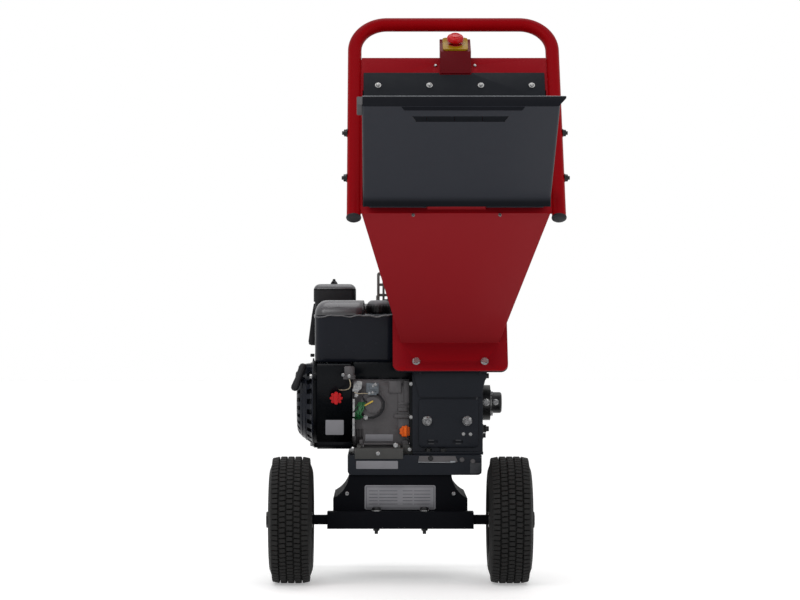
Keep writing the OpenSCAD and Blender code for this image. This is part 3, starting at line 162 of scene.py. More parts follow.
# base and second colour, roughness and its spread, grain scale and strength, patch scale; then, where a finish has
# them, metal, specular, brushing, dust (share, tone, scale), pits and wave (scale, strength), paintedLight (from, to,
# tone) as painted light and shade
finishes = {
    # faces turned up take a darker red: painted shade
    "redPaint": ((0.252, 0.0006, 0.0026), (0.236, 0.0006, 0.0024), 0.34, 0.06, 900, 0.03, 5, {"wave": (9, 0.02),
                 "specular": 0.03, "paintedLight": ((0.3, 0.6, (0.198, 0.002, 0.005)),)}),
    # faces turned down take a greyer red, painted reflection of the floor; faces turned up a darker red, painted shade
    "hopperRed": ((0.31, 0.0006, 0.0028), (0.29, 0.0006, 0.0026), 0.36, 0.06, 900, 0.03, 5, {"wave": (9, 0.02),
                  "specular": 0.03,
                  "paintedLight": ((-0.3, -0.5, (0.262, 0.0145, 0.019)), (0.2, 0.45, (0.21, 0.005, 0.009)))}),
    # a darker copy of the red paint for the stop switch box: painted shade
    "boxRedPaintedShade": ((0.105, 0.0022, 0.0055), (0.092, 0.002, 0.005), 0.3, 0.06, 900, 0.04, 9, {"specular": 0.08}),
    "powderBlack": ((0.0082, 0.0102, 0.0146), (0.01, 0.012, 0.0168), 0.42, 0.08, 1500, 0.16, 8,
                    {"dust": (0.03, (0.05, 0.05, 0.055), 45), "wave": (8, 0.015), "specular": 0.12}),
    # the tray's black: darker than powderBlack as painted dark reflection on its front faces, lighter on faces turned
    # down as painted reflection of the floor
    "trayBlackPaintedReflection": ((0.004, 0.0046, 0.0072), (0.005, 0.0058, 0.0086), 0.36, 0.08, 1500, 0.14, 8,
                  {"dust": (0.03, (0.04, 0.04, 0.045), 45), "wave": (8, 0.015), "specular": 0.07,
                  "paintedLight": ((-0.25, -0.8, (0.0265, 0.029, 0.037)),)}),
    # light grey for edges: painted highlight on the tray's folded edges and the foot flange's edge
    "paintedEdgeHighlight": ((0.27, 0.285, 0.305), (0.17, 0.18, 0.195), 0.35, 0.1, 1500, 0.14, 40, {"metal": 0.3}),
    # a darker copy of the black powder paint for chassis, beam, axle and welds: painted shade low on the machine
    "chassisBlackPaintedShade": ((0.0032, 0.0036, 0.0052), (0.0044, 0.0048, 0.0064), 0.6, 0.08, 1500, 0.16, 8,
                     {"dust": (0.03, (0.03, 0.03, 0.03), 45), "specular": 0.03}),
    "shroudBlack": ((0.0034, 0.0042, 0.0056), (0.0046, 0.0054, 0.007), 0.26, 0.1, 700, 0.05, 10,
                    {"dust": (0.03, (0.04, 0.04, 0.045), 45), "wave": (14, 0.03), "specular": 0.08}),
    "stoveBlack": ((0.0078, 0.0094, 0.0145), (0.0098, 0.0114, 0.0168), 0.24, 0.1, 700, 0.05, 10,
                   {"dust": (0.03, (0.06, 0.06, 0.065), 45), "wave": (14, 0.03), "specular": 0.12}),
    # lighter than the tank body's black, and lighter still on faces turned up: painted sheen on the tank dome and
    # filter lid
    "glossBlackPaintedSheen": ((0.02, 0.02, 0.023), (0.026, 0.026, 0.029), 0.24, 0.08, 700, 0.05, 10,
                   {"dust": (0.05, (0.1, 0.1, 0.11), 45), "wave": (12, 0.03), "specular": 0.7,
                   "paintedLight": ((0.15, 0.9, (0.075, 0.075, 0.085)),)}),
    # faces turned up light grey: painted highlight on the cap's top
    "capBlack": ((0.0035, 0.0035, 0.0045), (0.005, 0.005, 0.006), 0.34, 0.1, 1600, 0.12, 30, {"specular": 0.2,
                 "paintedLight": ((0.05, 0.5, (0.15, 0.15, 0.16)),)}),
    "mouldedBlack": ((0.008, 0.008, 0.01), (0.012, 0.012, 0.014), 0.46, 0.12, 2200, 0.22, 18,
                     {"dust": (0.04, (0.08, 0.08, 0.08), 45), "specular": 0.2}),
    "tyreRubber": ((0.0056, 0.0055, 0.0054), (0.009, 0.0087, 0.0084), 0.72, 0.16, 1300, 0.28, 26,
                   {"dust": (0.16, (0.045, 0.042, 0.038), 60), "specular": 0.24}),
    "flapRubber": ((0.007, 0.0082, 0.011), (0.01, 0.0115, 0.015), 0.5, 0.12, 1100, 0.2, 9,
                   {"dust": (0.04, (0.07, 0.07, 0.07), 45), "wave": (16, 0.06), "specular": 0.08}),
    # faces turned up lighter and faces turned down darker: painted highlight and shade
    "zincPlate": ((0.3, 0.3, 0.3), (0.16, 0.165, 0.175), 0.26, 0.16, 1600, 0.12, 170, {"metal": 0.8,
                  "dust": (0.12, (0.2, 0.18, 0.14), 45),
                  "paintedLight": ((0.2, 0.8, (0.66, 0.66, 0.65)), (-0.2, -0.8, (0.07, 0.07, 0.075)))}),
    "footAlloy": ((0.052, 0.052, 0.05), (0.042, 0.042, 0.041), 0.46, 0.1, 900, 0.3, 16, {"metal": 0.1,
                  "specular": 0.2}),
    "trimGrey": ((0.034, 0.036, 0.041), (0.024, 0.026, 0.03), 0.4, 0.1, 1500, 0.16, 30, {"specular": 0.2}),
    # faces turned up lighter and faces turned down darker: painted highlight and shade
    "boltSteel": ((0.22, 0.22, 0.225), (0.035, 0.036, 0.04), 0.24, 0.2, 1600, 0.12, 260, {"metal": 0.8,
                  "paintedLight": ((0.15, 0.7, (0.7, 0.7, 0.7)), (-0.15, -0.7, (0.42, 0.42, 0.43)))}),
    "groundSteel": ((0.58, 0.58, 0.58), (0.46, 0.46, 0.47), 0.28, 0.12, 900, 0.14, 30, {"metal": 1,
                    "brush": (0.15, 3, 3)}),
    "castAlloy": ((0.094, 0.09, 0.094), (0.073, 0.07, 0.073), 0.5, 0.16, 1500, 0.3, 22, {"metal": 0.3,
                  "dust": (0.12, (0.03, 0.028, 0.026), 45), "pits": (700, 0.2), "specular": 0.2}),
    "brightAlloy": ((0.22, 0.22, 0.22), (0.16, 0.16, 0.165), 0.42, 0.16, 1500, 0.25, 30, {"metal": 0.6,
                    "dust": (0.1, (0.08, 0.075, 0.07), 45)}),
    "heatSteel": ((0.1, 0.095, 0.09), (0.055, 0.048, 0.043), 0.5, 0.2, 1200, 0.16, 20, {"metal": 0.8,
                  "dust": (0.2, (0.06, 0.04, 0.03), 45)}),
    "rotorIron": ((0.16, 0.16, 0.16), (0.11, 0.105, 0.1), 0.48, 0.16, 1200, 0.25, 25, {"metal": 0.8}),
    "rimPaint": ((0.4, 0.4, 0.4), (0.33, 0.33, 0.335), 0.4, 0.12, 1400, 0.12, 20, {"metal": 0.6,
                 "dust": (0.12, (0.15, 0.14, 0.12), 45)}),
    "plateFoil": ((0.172, 0.172, 0.186), (0.198, 0.198, 0.212), 0.42, 0.1, 1200, 0.08, 24, {"metal": 0.25,
                  "brush": (0.2, 2, 4), "specular": 0.2}),
    "switchRed": ((0.46, 0.003, 0.006), (0.4, 0.003, 0.005), 0.3, 0.08, 2000, 0.08, 40, {"specular": 0.2}),
    "stopRed": ((0.27, 0.003, 0.006), (0.23, 0.003, 0.005), 0.28, 0.08, 2000, 0.08, 40, {"specular": 0.25}),
    "capOrange": ((0.8, 0.13, 0.004), (0.66, 0.1, 0.004), 0.36, 0.1, 2000, 0.1, 50, {"specular": 0.2}),
    "stopYellow": ((0.27, 0.15, 0.002), (0.23, 0.13, 0.002), 0.36, 0.1, 2200, 0.1, 40, {"specular": 0.2}),
    "tagYellow": ((0.56, 0.38, 0.03), (0.45, 0.3, 0.03), 0.4, 0.1, 2200, 0.1, 60, {}),
    "linkBrass": ((0.36, 0.31, 0.22), (0.24, 0.2, 0.14), 0.35, 0.1, 1800, 0.1, 90, {"metal": 0.8}),
    "blueGrey": ((0.095, 0.112, 0.128), (0.07, 0.084, 0.098), 0.4, 0.14, 1600, 0.16, 60, {"metal": 0.3}),
    "cordWhite": ((0.2, 0.195, 0.18), (0.12, 0.12, 0.115), 0.8, 0.1, 1800, 0.3, 120, {}),
    "wireGreen": ((0.012, 0.12, 0.035), (0.008, 0.08, 0.025), 0.4, 0.1, 2600, 0.1, 60, {}),
    "bearingBlack": ((0.006, 0.0065, 0.0072), (0.009, 0.0095, 0.0105), 0.3, 0.1, 900, 0.12, 20, {"specular": 0.25}),
}
mats = {name: makeFinish(name, *look) for name, look in finishes.items()}
print("finishes made:", len(mats))


# mesh building, all in machine millimetres
still = Matrix.Identity(4)


def moved(bm, place):
    bmesh.ops.transform(bm, matrix=place, verts=bm.verts)


def skin(bm, rings):
    # rings of equally many corners, joined in turn and closed at both ends
    count = len(rings[0])
    for low, high in zip(rings, rings[1:]):
        for k in range(count):
            bm.faces.new([low[k], low[(k + 1) % count], high[(k + 1) % count], high[k]])
    bm.faces.new(rings[0][::-1])
    bm.faces.new(rings[-1])


def addBox(bm, low, high, round=1.0, segments=2):
    size = [h - l for l, h in zip(low, high)]
    mid = [(h + l) / 2 for l, h in zip(low, high)]
    made = bmesh.ops.create_cube(bm, size=1, matrix=Matrix.Translation(mid) @ Matrix.Diagonal((*size, 1)))["verts"]
    if round > 0:
        edges = list(dict.fromkeys(e for v in made for e in v.link_edges))
        bmesh.ops.bevel(bm, geom=edges, offset=min(round, min(size) * 0.45), segments=segments, profile=0.5,
                        affect="EDGES", clamp_overlap=True)


def addLathe(bm, profile, place=still, segments=64, closed=False):
    # profile: (radius, height) pairs, turned about the local z axis
    rings = []
    for r, h in profile:
        if r < 1e-6:
            rings.append([bm.verts.new(place @ Vector((0, 0, h)))])
        else:
            rings.append([bm.verts.new(place @ Vector((r * math.cos(2 * math.pi * k / segments),
                                                       r * math.sin(2 * math.pi * k / segments), h)))
                          for k in range(segments)])
    pairs = list(zip(rings, rings[1:])) + ([(rings[-1], rings[0])] if closed else [])
    for low, high in pairs:
        for k in range(segments):
            n = (k + 1) % segments
            ring = [low[k % len(low)], low[n % len(low)], high[n % len(high)], high[k % len(high)]]
            corners = list(dict.fromkeys(ring))
            if len(corners) > 2:
                bm.faces.new(corners)


def aimed(start, end):
    way = Vector(end) - Vector(start)
    return Matrix.Translation(start) @ way.to_track_quat("Z", "Y").to_matrix().to_4x4(), way.length


def addRod(bm, start, end, r, round=0.6, segments=32):
    place, length = aimed(start, end)
    e = min(round, r * 0.4, length * 0.4)
    addLathe(bm, [(0, 0), (r - e, 0), (r - e * 0.3, e * 0.3), (r, e), (r, length - e), (r - e * 0.3, length - e * 0.3),
                  (r - e, length), (0, length)], place, segments)


def addTube(bm, points, r, segments=24):
    pts = [Vector(p) for p in points]
    ways = [(pts[min(i + 1, len(pts) - 1)] - pts[max(i - 1, 0)]).normalized() for i in range(len(pts))]
    side = ways[0].orthogonal().normalized()
    rings = []
    for p, way in zip(pts, ways):
        side = (side - way * side.dot(way)).normalized()
        other = way.cross(side)
        rings.append([bm.verts.new(p + r * (math.cos(2 * math.pi * k / segments) * side
                                            + math.sin(2 * math.pi * k / segments) * other))
                      for k in range(segments)])
    skin(bm, rings)


def addPlate(bm, outline, low, high, place=still, round=0.8):
    # outline: (x, y) pairs counter-clockwise, standing from z = low to z = high
    base = [bm.verts.new(place @ Vector((x, y, low))) for x, y in outline]
    top = [bm.verts.new(place @ Vector((x, y, high))) for x, y in outline]
    count = len(outline)
    faces = [bm.faces.new(base[::-1]), bm.faces.new(top)]
    for k in range(count):
        faces.append(bm.faces.new([base[k], base[(k + 1) % count], top[(k + 1) % count], top[k]]))
    if round > 0:
        edges = [e for f in faces[:2] for e in f.edges]
        bmesh.ops.bevel(bm, geom=edges, offset=min(round, (high - low) * 0.4), segments=2, profile=0.5,
                        affect="EDGES", clamp_overlap=True)


def addFront(bm, outline, y0, y1, round=0.8):
    # a plate facing the operator: outline in (x, z), from y0 back to y1
    addPlate(bm, outline, -y1, -y0, turned(90, "X"), round)


def arc(centre, r, start, end, count=12):
    return [(centre[0] + r * math.cos(math.radians(start + (end - start) * k / count)),
             centre[1] + r * math.sin(math.radians(start + (end - start) * k / count))) for k in range(count + 1)]


def roundedBox(x0, x1, y0, y1, r, count=8):
    return (arc((x1 - r, y0 + r), r, -90, 0, count) + arc((x1 - r, y1 - r), r, 0, 90, count)
            + arc((x0 + r, y1 - r), r, 90, 180, count) + arc((x0 + r, y0 + r), r, 180, 270, count))


def addLoft(bm, rings):
    skin(bm, [[bm.verts.new(p) for p in ring] for ring in rings])


def addBoxes(bm, boxes):
    # boxes: (low corner, high corner, rounding)
    for low, high, round in boxes:
        addBox(bm, low, high, round)


def addTubes(bm, lines, segments):
    # lines: (points, radius)
    for points, r in lines:
        addTube(bm, points, r, segments)


def level(x0, x1, y0, y1, r, z):
    return [(x, y, z) for x, y in roundedBox(x0, x1, y0, y1, r)]


def addSheet(bm, rows, place=still, skip=(), wall=2.0):
    # a grid of points given a wall on its inner side; cells named in skip stay open
    grid = [[bm.verts.new(place @ Vector(p)) for p in row] for row in rows]
    faces = [bm.faces.new([a[j], a[j + 1], b[j + 1], b[j]])
             for i, (a, b) in enumerate(zip(grid, grid[1:])) for j in range(len(a) - 1) if (i, j) not in skip]
    thicken(bm, [v for row in grid for v in row], faces, wall)


def thicken(bm, verts, faces, wall):
    for f in faces:
        f.normal_update()
    for v in verts:
        v.normal_update()
    inner = {v: bm.verts.new(v.co - v.normal * wall) for v in verts}
    # edges in their own order, so that each run builds the same faces
    rims = [e.link_loops[0] for e in dict.fromkeys(e for f in faces for e in f.edges) if e.is_boundary]
    rims = [(loop.vert, loop.link_loop_next.vert) for loop in rims]
    for f in faces:
        bm.faces.new([inner[v] for v in reversed(f.verts)])
    for a, b in rims:
        bm.faces.new([b, a, inner[a], inner[b]])


def smoothed(mesh, angle):
    mesh.polygons.foreach_set("use_smooth", [True] * len(mesh.polygons))
    mesh.set_sharp_from_angle(angle=math.radians(angle))
    mesh.update()


def dress(name, mesh, mat, body, stands=()):
    mesh.materials.clear()
    mesh.materials.append(mats[mat])
    obj = bpy.data.objects.new(name, mesh)
    scene.collection.objects.link(obj)
    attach(obj, body)
    if stands:
        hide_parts(*stands)


def finishPiece(name, bm, mat, stands=(), body=None, angle=40):
    bmesh.ops.recalc_face_normals(bm, faces=bm.faces)
    moved(bm, toFrame)
    mesh = bpy.data.meshes.new(name)
    bm.to_mesh(mesh)
    bm.free()
    smoothed(mesh, angle)
    dress(name, mesh, mat, body or bodyOf[stands[0]], stands)


# a piece of the fixed frame that stands for no node of its own
def trimPiece(name, bm, mat, angle=40):
    finishPiece(name, bm, mat, (), "frame", angle)


# a CAD solid with its sharp edges broken, as a folded, cast or machined piece has them
def softEdged(node, mat, width, angle=28):
    mesh = cadNodes[node].data.copy()
    bm = bmesh.new()
    bm.from_mesh(mesh)
    bmesh.ops.remove_doubles(bm, verts=bm.verts, dist=2e-6)
    bmesh.ops.dissolve_limit(bm, angle_limit=math.radians(0.5), verts=bm.verts, edges=bm.edges)
    sharp = [e for e in bm.edges if len(e.link_faces) == 2 and e.calc_face_angle(0) > math.radians(angle)]
    bmesh.ops.bevel(bm, geom=sharp, offset=width / 1000, segments=2, profile=0.5, affect="EDGES", clamp_overlap=False)
    bmesh.ops.triangulate(bm, faces=[f for f in bm.faces if len(f.verts) > 4])
    mesh.clear_geometry()
    bm.to_mesh(mesh)
    bm.free()
    mesh.name = node + "Soft"
    smoothed(mesh, angle)
    dress(node + "Soft", mesh, mat, bodyOf[node], [node])


# geometry node trees: copies on marked points, copies in a ring, beads along a line

def newTree(name, sockets):
    tree = bpy.data.node_groups.new(name, "GeometryNodeTree")
    tree.interface.new_socket(name="Geometry", in_out="INPUT", socket_type="NodeSocketGeometry")
    for label, kind in sockets:
        tree.interface.new_socket(name=label, in_out="INPUT", socket_type=kind)
    tree.interface.new_socket(name="Geometry", in_out="OUTPUT", socket_type="NodeSocketGeometry")
    return tree, tree.nodes.new("NodeGroupInput").outputs, tree.nodes.new("NodeGroupOutput").inputs


def closeTree(tree, given, result, copies):
    solid = addNode(tree, "GeometryNodeRealizeInstances", {"Geometry": copies}).outputs["Geometry"]
    dressed = addNode(tree, "GeometryNodeSetMaterial", {"Geometry": solid, "Material": given["Material"]})
    tree.links.new(dressed.outputs["Geometry"], result["Geometry"])


def makeScatterTree():
    tree, given, result = newTree("copiesOnPoints", [
        ("Template", "NodeSocketObject"), ("Material", "NodeSocketMaterial")])
    shape = addNode(tree, "GeometryNodeObjectInfo", {"Object": given["Template"]}).outputs["Geometry"]
    turn = addNode(tree, "GeometryNodeInputNamedAttribute", {"Name": "turn"}, data_type="FLOAT_VECTOR")
    size = addNode(tree, "GeometryNodeInputNamedAttribute", {"Name": "size"}, data_type="FLOAT_VECTOR")
    spin = addNode(tree, "FunctionNodeEulerToRotation", {"Euler": turn.outputs["Attribute"]}).outputs["Rotation"]
    copies = addNode(tree, "GeometryNodeInstanceOnPoints", {
        "Points": given["Geometry"], "Instance": shape, "Rotation": spin, "Scale": size.outputs["Attribute"]})
    closeTree(tree, given, result, copies.outputs["Instances"])
    return tree


def makeRingTree():
    tree, given, result = newTree("copiesInRing", [
        ("Template", "NodeSocketObject"), ("Count", "NodeSocketInt"), ("Radius", "NodeSocketFloat"),
        ("Material", "NodeSocketMaterial")])
    shape = addNode(tree, "GeometryNodeObjectInfo", {"Object": given["Template"]}).outputs["Geometry"]
    circle = addNode(tree, "GeometryNodeMeshCircle", {"Vertices": given["Count"], "Radius": given["Radius"]})
    place = addNode(tree, "GeometryNodeInputPosition").outputs["Position"]
    spin = addNode(tree, "FunctionNodeAlignRotationToVector", {"Vector": place}, axis="X", pivot_axis="Z")
    copies = addNode(tree, "GeometryNodeInstanceOnPoints", {
        "Points": circle.outputs["Mesh"], "Instance": shape, "Rotation": spin.outputs["Rotation"]})
    closeTree(tree, given, result, copies.outputs["Instances"])
    return tree


def makeBeadTree():
    tree, given, result = newTree("beadAlongLine", [
        ("Spacing", "NodeSocketFloat"), ("Radius", "NodeSocketFloat"), ("Material", "NodeSocketMaterial")])
    line = addNode(tree, "GeometryNodeMeshToCurve", {"Mesh": given["Geometry"]}).outputs["Curve"]
    spots = addNode(tree, "GeometryNodeCurveToPoints", {"Curve": line, "Length": given["Spacing"]}, mode="LENGTH")
    drop = addNode(tree, "GeometryNodeMeshUVSphere", {"Segments": 10, "Rings": 6, "Radius": given["Radius"]})
    pick = addNode(tree, "FunctionNodeRandomValue", {"Min": (0.85, 0.85, 0.7), "Max": (1.15, 1.1, 1.0), "Seed": 3},
                   data_type="FLOAT_VECTOR")
    copies = addNode(tree, "GeometryNodeInstanceOnPoints", {
        "Points": spots.outputs["Points"], "Instance": drop.outputs["Mesh"], "Rotation": spots.outputs["Rotation"],
        "Scale": pick.outputs["Value"]})
    closeTree(tree, given, result, copies.outputs["Instances"])
    return tree


scatterTree, ringTree, beadTree = makeScatterTree(), makeRingTree(), makeBeadTree()


def grown(tree, seed, settings):
    holder = bpy.data.objects.new("seed", seed)
    scene.collection.objects.link(holder)
    mod = holder.modifiers.new("grow", "NODES")
    mod.node_group = tree
    for item in tree.interface.items_tree:
        if item.item_type == "SOCKET" and item.in_out == "INPUT" and item.name in settings:
            mod[item.identifier] = settings[item.name]
    graph = bpy.context.evaluated_depsgraph_get()
    mesh = bpy.data.meshes.new_from_object(holder.evaluated_get(graph), preserve_all_data_layers=True, depsgraph=graph)
    holder.modifiers.remove(mod)
    bpy.data.objects.remove(holder)
    for label in ("turn", "size"):
        if label in mesh.attributes:
            mesh.attributes.remove(mesh.attributes[label])
    return mesh


def templateObject(bm):
    bmesh.ops.recalc_face_normals(bm, faces=bm.faces)
    mesh = bpy.data.meshes.new("template")
    bm.to_mesh(mesh)
    bm.free()
    obj = bpy.data.objects.new("template", mesh)
    scene.collection.objects.link(obj)
    return obj


def scattered(bm, template, places, mat):
    # places: (matrix, size) pairs; the copies join the given mesh
    seed = bpy.data.meshes.new("seed")
    seed.from_pydata([m.to_translation() for m, s in places], [], [])
    turn = seed.attributes.new("turn", "FLOAT_VECTOR", "POINT")
    size = seed.attributes.new("size", "FLOAT_VECTOR", "POINT")
    for k, (m, s) in enumerate(places):
        turn.data[k].vector = m.to_euler()
        size.data[k].vector = (s, s, s)
    made = grown(scatterTree, seed, {"Template": template, "Material": mats[mat]})
    bm.from_mesh(made)
    bpy.data.meshes.remove(made)
    bpy.data.objects.remove(template)


def ringed(bm, template, count, radius, place, mat):
    made = grown(ringTree, bpy.data.meshes.new("seed"), {
        "Template": template, "Count": count, "Radius": radius, "Material": mats[mat]})
    made.transform(place)
    bm.from_mesh(made)
    bpy.data.meshes.remove(made)
    bpy.data.objects.remove(template)


def beaded(bm, lines, spacing, radius, mat):
    seed = bpy.data.meshes.new("seed")
    points, edges = [], []
    for line in lines:
        edges += [(len(points) + k, len(points) + k + 1) for k in range(len(line) - 1)]
        points += line
    seed.from_pydata(points, edges, [])
    made = grown(beadTree, seed, {"Spacing": spacing, "Radius": radius, "Material": mats[mat]})
    bm.from_mesh(made)
    bpy.data.meshes.remove(made)


# fasteners: one unit bolt with washer and turned chamfer, copied to each place at its own size
bolts = {"washer": 1.05, "washerH": 0.2, "head": 0.92, "headTop": 0.85, "chamfer": 0.13, "face": 0.76}


def unitBolt(washer=True):
    bm = bmesh.new()
    low = bolts["washerH"] if washer else 0
    if washer:
        addLathe(bm, [(0, 0), (bolts["washer"], 0), (bolts["washer"], low * 0.7), (bolts["washer"] - low * 0.3, low),
                      (0, low)], segments=24)
    top = low + bolts["headTop"] - bolts["washerH"]
    rings = []
    for kind in range(3):
        ring = []
        for k in range(12):
            corner = k % 2 == 0
            r = bolts["head"] * (1 if corner else math.cos(math.pi / 6))
            z = low if kind == 0 else top - bolts["chamfer"] * (1 if corner else 0.4)
            if kind == 2:
                r, z = bolts["face"], top
            ring.append(bm.verts.new((r * math.cos(k * math.pi / 6), r * math.sin(k * math.pi / 6), z)))
        rings.append(ring)
    skin(bm, rings)
    return templateObject(bm)


def at(x, y, z, frameOf=still):
    return frameOf @ Matrix.Translation((x, y, z))


outLeft, outRight, outFront, outDown = turned(-90, "Y"), turned(90, "Y"), turned(90, "X"), turned(180, "X")


def boltPiece(name, node, places, mat="zincPlate", washer=True, stubs=()):
    bm = bmesh.new()
    scattered(bm, unitBolt(washer), places, mat)
    for start, end, r in stubs:
        addRod(bm, start, end, r, 0.5, 16)
    finishPiece(name, bm, mat, [node] if node else (), body="frame", angle=25)


def crankSpot(x, r=0, angle=0):
    return at(x, machine["crankY"] + r * math.cos(math.radians(angle)),
              machine["crankZ"] + r * math.sin(math.radians(angle)))


def frontScrews(spots, spin=0):
    # spots: (x, y, z, size), each turned by one of its own coordinates
    return [(at(x, y, z) @ outFront @ turned((x, y, z)[spin], "Z"), size) for x, y, z, size in spots]


boltPiece("housingBolts", "housing_bolts",
          [(at(x, 51, 341) @ outFront @ turned(20 + x, "Z"), 10) for x in (57.7, 143.5)]
          + [(crankSpot(197, 32, a) @ outRight, 6) for a in (45, 135, 225, 315)]
          + [(at(x, 527, s, mouthFrame) @ outFront @ turned(x, "Z"), 8) for x in (-73, 73) for s in (-36, 177)]
          + [(at(177, 249, z) @ outRight, 8) for z in (456, 500)], "boltSteel")
sideSpots = [(80, 437), (80, 323), (250, 300)]
boltPiece("housingSideBolts", None, [(at(177, y, z) @ outRight @ turned(y, "Z"), 10) for y, z in sideSpots],
          "bearingBlack", stubs=[((182, y, z), (191, y, z), 5.5) for y, z in sideSpots])
tubeSpots = [(m, s) for m in (-1, 1) for s in (83, 191)]
boltPiece("tubeBolts", "tube_bolts",
          [(at(m * 215.8, 0, s, mouthFrame) @ turned(m * 90, "Y") @ turned(s, "Z"), 8) for m, s in tubeSpots],
          "bearingBlack",
          stubs=[(mouthFrame @ Vector((m * 215.8, 0, s)), mouthFrame @ Vector((m * 226.2, 0, s)), 3.8)
                 for m, s in tubeSpots])
deckSpots = [(x, y) for x in (-83.75, -8.25) for y in (84, 246)]
footSpots = [(x, y) for x in (60, 92) for y in (43, 257)]
boltPiece("deckBolts", "deck_bolts",
          [(at(x, y, 282) @ turned(x * 7, "Z"), 8) for x, y in deckSpots]
          + [(at(x, y, 261) @ outDown, 8) for x, y in deckSpots + footSpots])
boltPiece("footBolts", None, [(at(x, y, 276) @ turned(x * 5, "Z"), 8) for x, y in footSpots], "bearingBlack")
boltPiece("engineScrews", "engine_screws",
          [(at(20, y, z) @ outRight @ turned(y, "Z"), 6)
           for y, z in ((92, 416), (89, 350), (96, 298), (165, 294), (234, 298), (138, 419))]
          + [(crankSpot(-190, 90, a) @ outLeft, 6) for a in (20, 140, 260)])
boltPiece("drainPlug", None, [(at(12, 80, 292) @ outFront, 8)], "castAlloy")
axleSpots = (-51, 51)
boltPiece("axleWashers", "axle_bolts", [], stubs=[((x, 0, 151.8), (x, 0, 154.2), 10.5) for x in axleSpots])
boltPiece("axleBoltHeads", None,
          [(at(x, 0, 154.2) @ turned(x, "Z"), 10) for x in axleSpots]
          + [(at(x, 0, 116) @ outDown @ turned(17, "Z"), 8) for x in axleSpots], "bearingBlack", False,
          [((x, 0, 104), (x, 0, 112), 3.8) for x in axleSpots])
boltPiece("pedestalScrews", None,
          [(at(m * 113.5, 18, 188) @ outFront @ turned(m * 9, "Z"), 4) for m in (-1, 1)], "boltSteel")
boltPiece("stripScrews", None,
          [(at(x, -9, -11, mouthFrame) @ outFront @ turned(x, "Z"), 4) for x in (-85, 85)], "zincPlate", False)
boltPiece("cutterScrews", None, frontScrews([(135.5, 51, 313, 3.6), (150.5, 51, 312.6, 3.6)]))
boltPiece("flangeScrews", None, frontScrews([(131, 12, 260.5, 5), (154, 12, 257, 5)]), "castAlloy")
print("fasteners placed")


# wheels: carcass turned from a profile, five rows of tread blocks grown round it
wheel = {
    "carcass": [(0, 128.2), (22, 127.8), (30, 126.8), (35, 124.8), (38.8, 121), (41.8, 115.4), (44, 109), (45.4, 102),
                (45.9, 95), (45.6, 88), (44.2, 81), (41.6, 74.5), (38, 69), (34, 65), (31.6, 62.5), (31, 58), (31, 53)],
    "count": 74, "segments": 148, "block": (12.6, 9.0), "blockDepth": 9, "top": 133.9, "row": 15.2, "skew": 6,
    "shoulder": 31, "shoulderBlock": (15, 9.4), "shoulderDepth": 12.5, "shoulderTop": 132.2, "shoulderTilt": 12,
    "phase": (0, 0.5, 0.1, 0.5, 0), "rings": ((106, 44.5), (102, 45.1), (76, 42.2)),
}


def treadBlock(axial, tangent, low, high, tilt=0, skew=0):
    bm = bmesh.new()
    addBox(bm, (low, -tangent / 2, -axial / 2), (high, tangent / 2, axial / 2), 1.0, 1)
    if tilt or skew:
        mid = Vector(((low + high) / 2, 0, 0))
        moved(bm, Matrix.Translation(mid) @ turned(tilt, "Y") @ turned(skew, "X") @ Matrix.Translation(-mid))
    return bm


def makeTyre(side, name):
    place = at(side * machine["wheelX"], 0, machine["axleZ"]) @ outRight
    bm = bmesh.new()
    halfLine, count, turns = wheel["carcass"], wheel["count"], wheel["segments"]
    addLathe(bm, [(r, -x) for x, r in halfLine[::-1]] + [(r, x) for x, r in halfLine[1:]], place, turns, True)
    for row, x in enumerate((-wheel["shoulder"], -wheel["row"], 0, wheel["row"], wheel["shoulder"])):
        # each template stands on the ring of the tread's radius, its top turned outward
        if row in (0, 4):
            radius, tilt = wheel["shoulderTop"], wheel["shoulderTilt"] * (1 - row / 2)
            part = treadBlock(*wheel["shoulderBlock"], -wheel["shoulderDepth"], 0, tilt)
        else:
            radius = wheel["top"]
            part = treadBlock(*wheel["block"], -wheel["blockDepth"], 0, 0, wheel["skew"] * (2 - row))
        phase = turned(wheel["phase"][row] * 360 / count, "Z")
        ringed(bm, templateObject(part), count, radius, place @ phase @ at(0, 0, x), "tyreRubber")
    for m in (-1, 1):
        for r, h in wheel["rings"]:
            addLathe(bm, [(r - 1.2, m * (h - 0.6)), (r - 0.6, m * (h + 0.6)), (r + 0.6, m * (h + 0.5)),
                          (r + 1.2, m * (h - 0.9))], place, turns)
    finishPiece(name + "Tyre", bm, "tyreRubber", [name + "_tyre"])


makeTyre(-1, "left")
makeTyre(1, "right")
print("tyres grown")


# handle: one bent tube with strips where the hopper seats, plugged at both ends
handle = {"half": 201.8, "length": 461, "bend": 66, "radius": 13.95, "steps": 22, "tail": 9,
          "seatX": 188, "seatZ": (2, 368),
          "plug": [(0, -6), (9, -6), (12.6, -5.3), (14.4, -3.8), (15, -1.8), (14.8, -0.4), (14.2, -0.2), (11.8, -0.2),
                   (11.8, 20), (0, 20)]}


def handlePath():
    half, bend, top = handle["half"], handle["bend"], handle["length"]
    right = [(half - bend + bend * math.cos(a), 0, top - bend + bend * math.sin(a))
             for a in [math.pi / 2 * k / handle["steps"] for k in range(handle["steps"] + 1)]]
    right = [(half, 0, z) for z in (-handle["tail"], 100, 200, 300)] + right
    return right + [(-x, y, z) for x, y, z in right[::-1]]


bm = bmesh.new()
addTube(bm, handlePath(), handle["radius"], 48)
low, high = handle["seatZ"]
for x in (-handle["seatX"], handle["seatX"]):
    addBox(bm, (x - 1.2, -7, low), (x + 1.2, 7, high), 0.4)
moved(bm, mouthFrame)
finishPiece("handleTube", bm, "redPaint", ["handle_frame"])

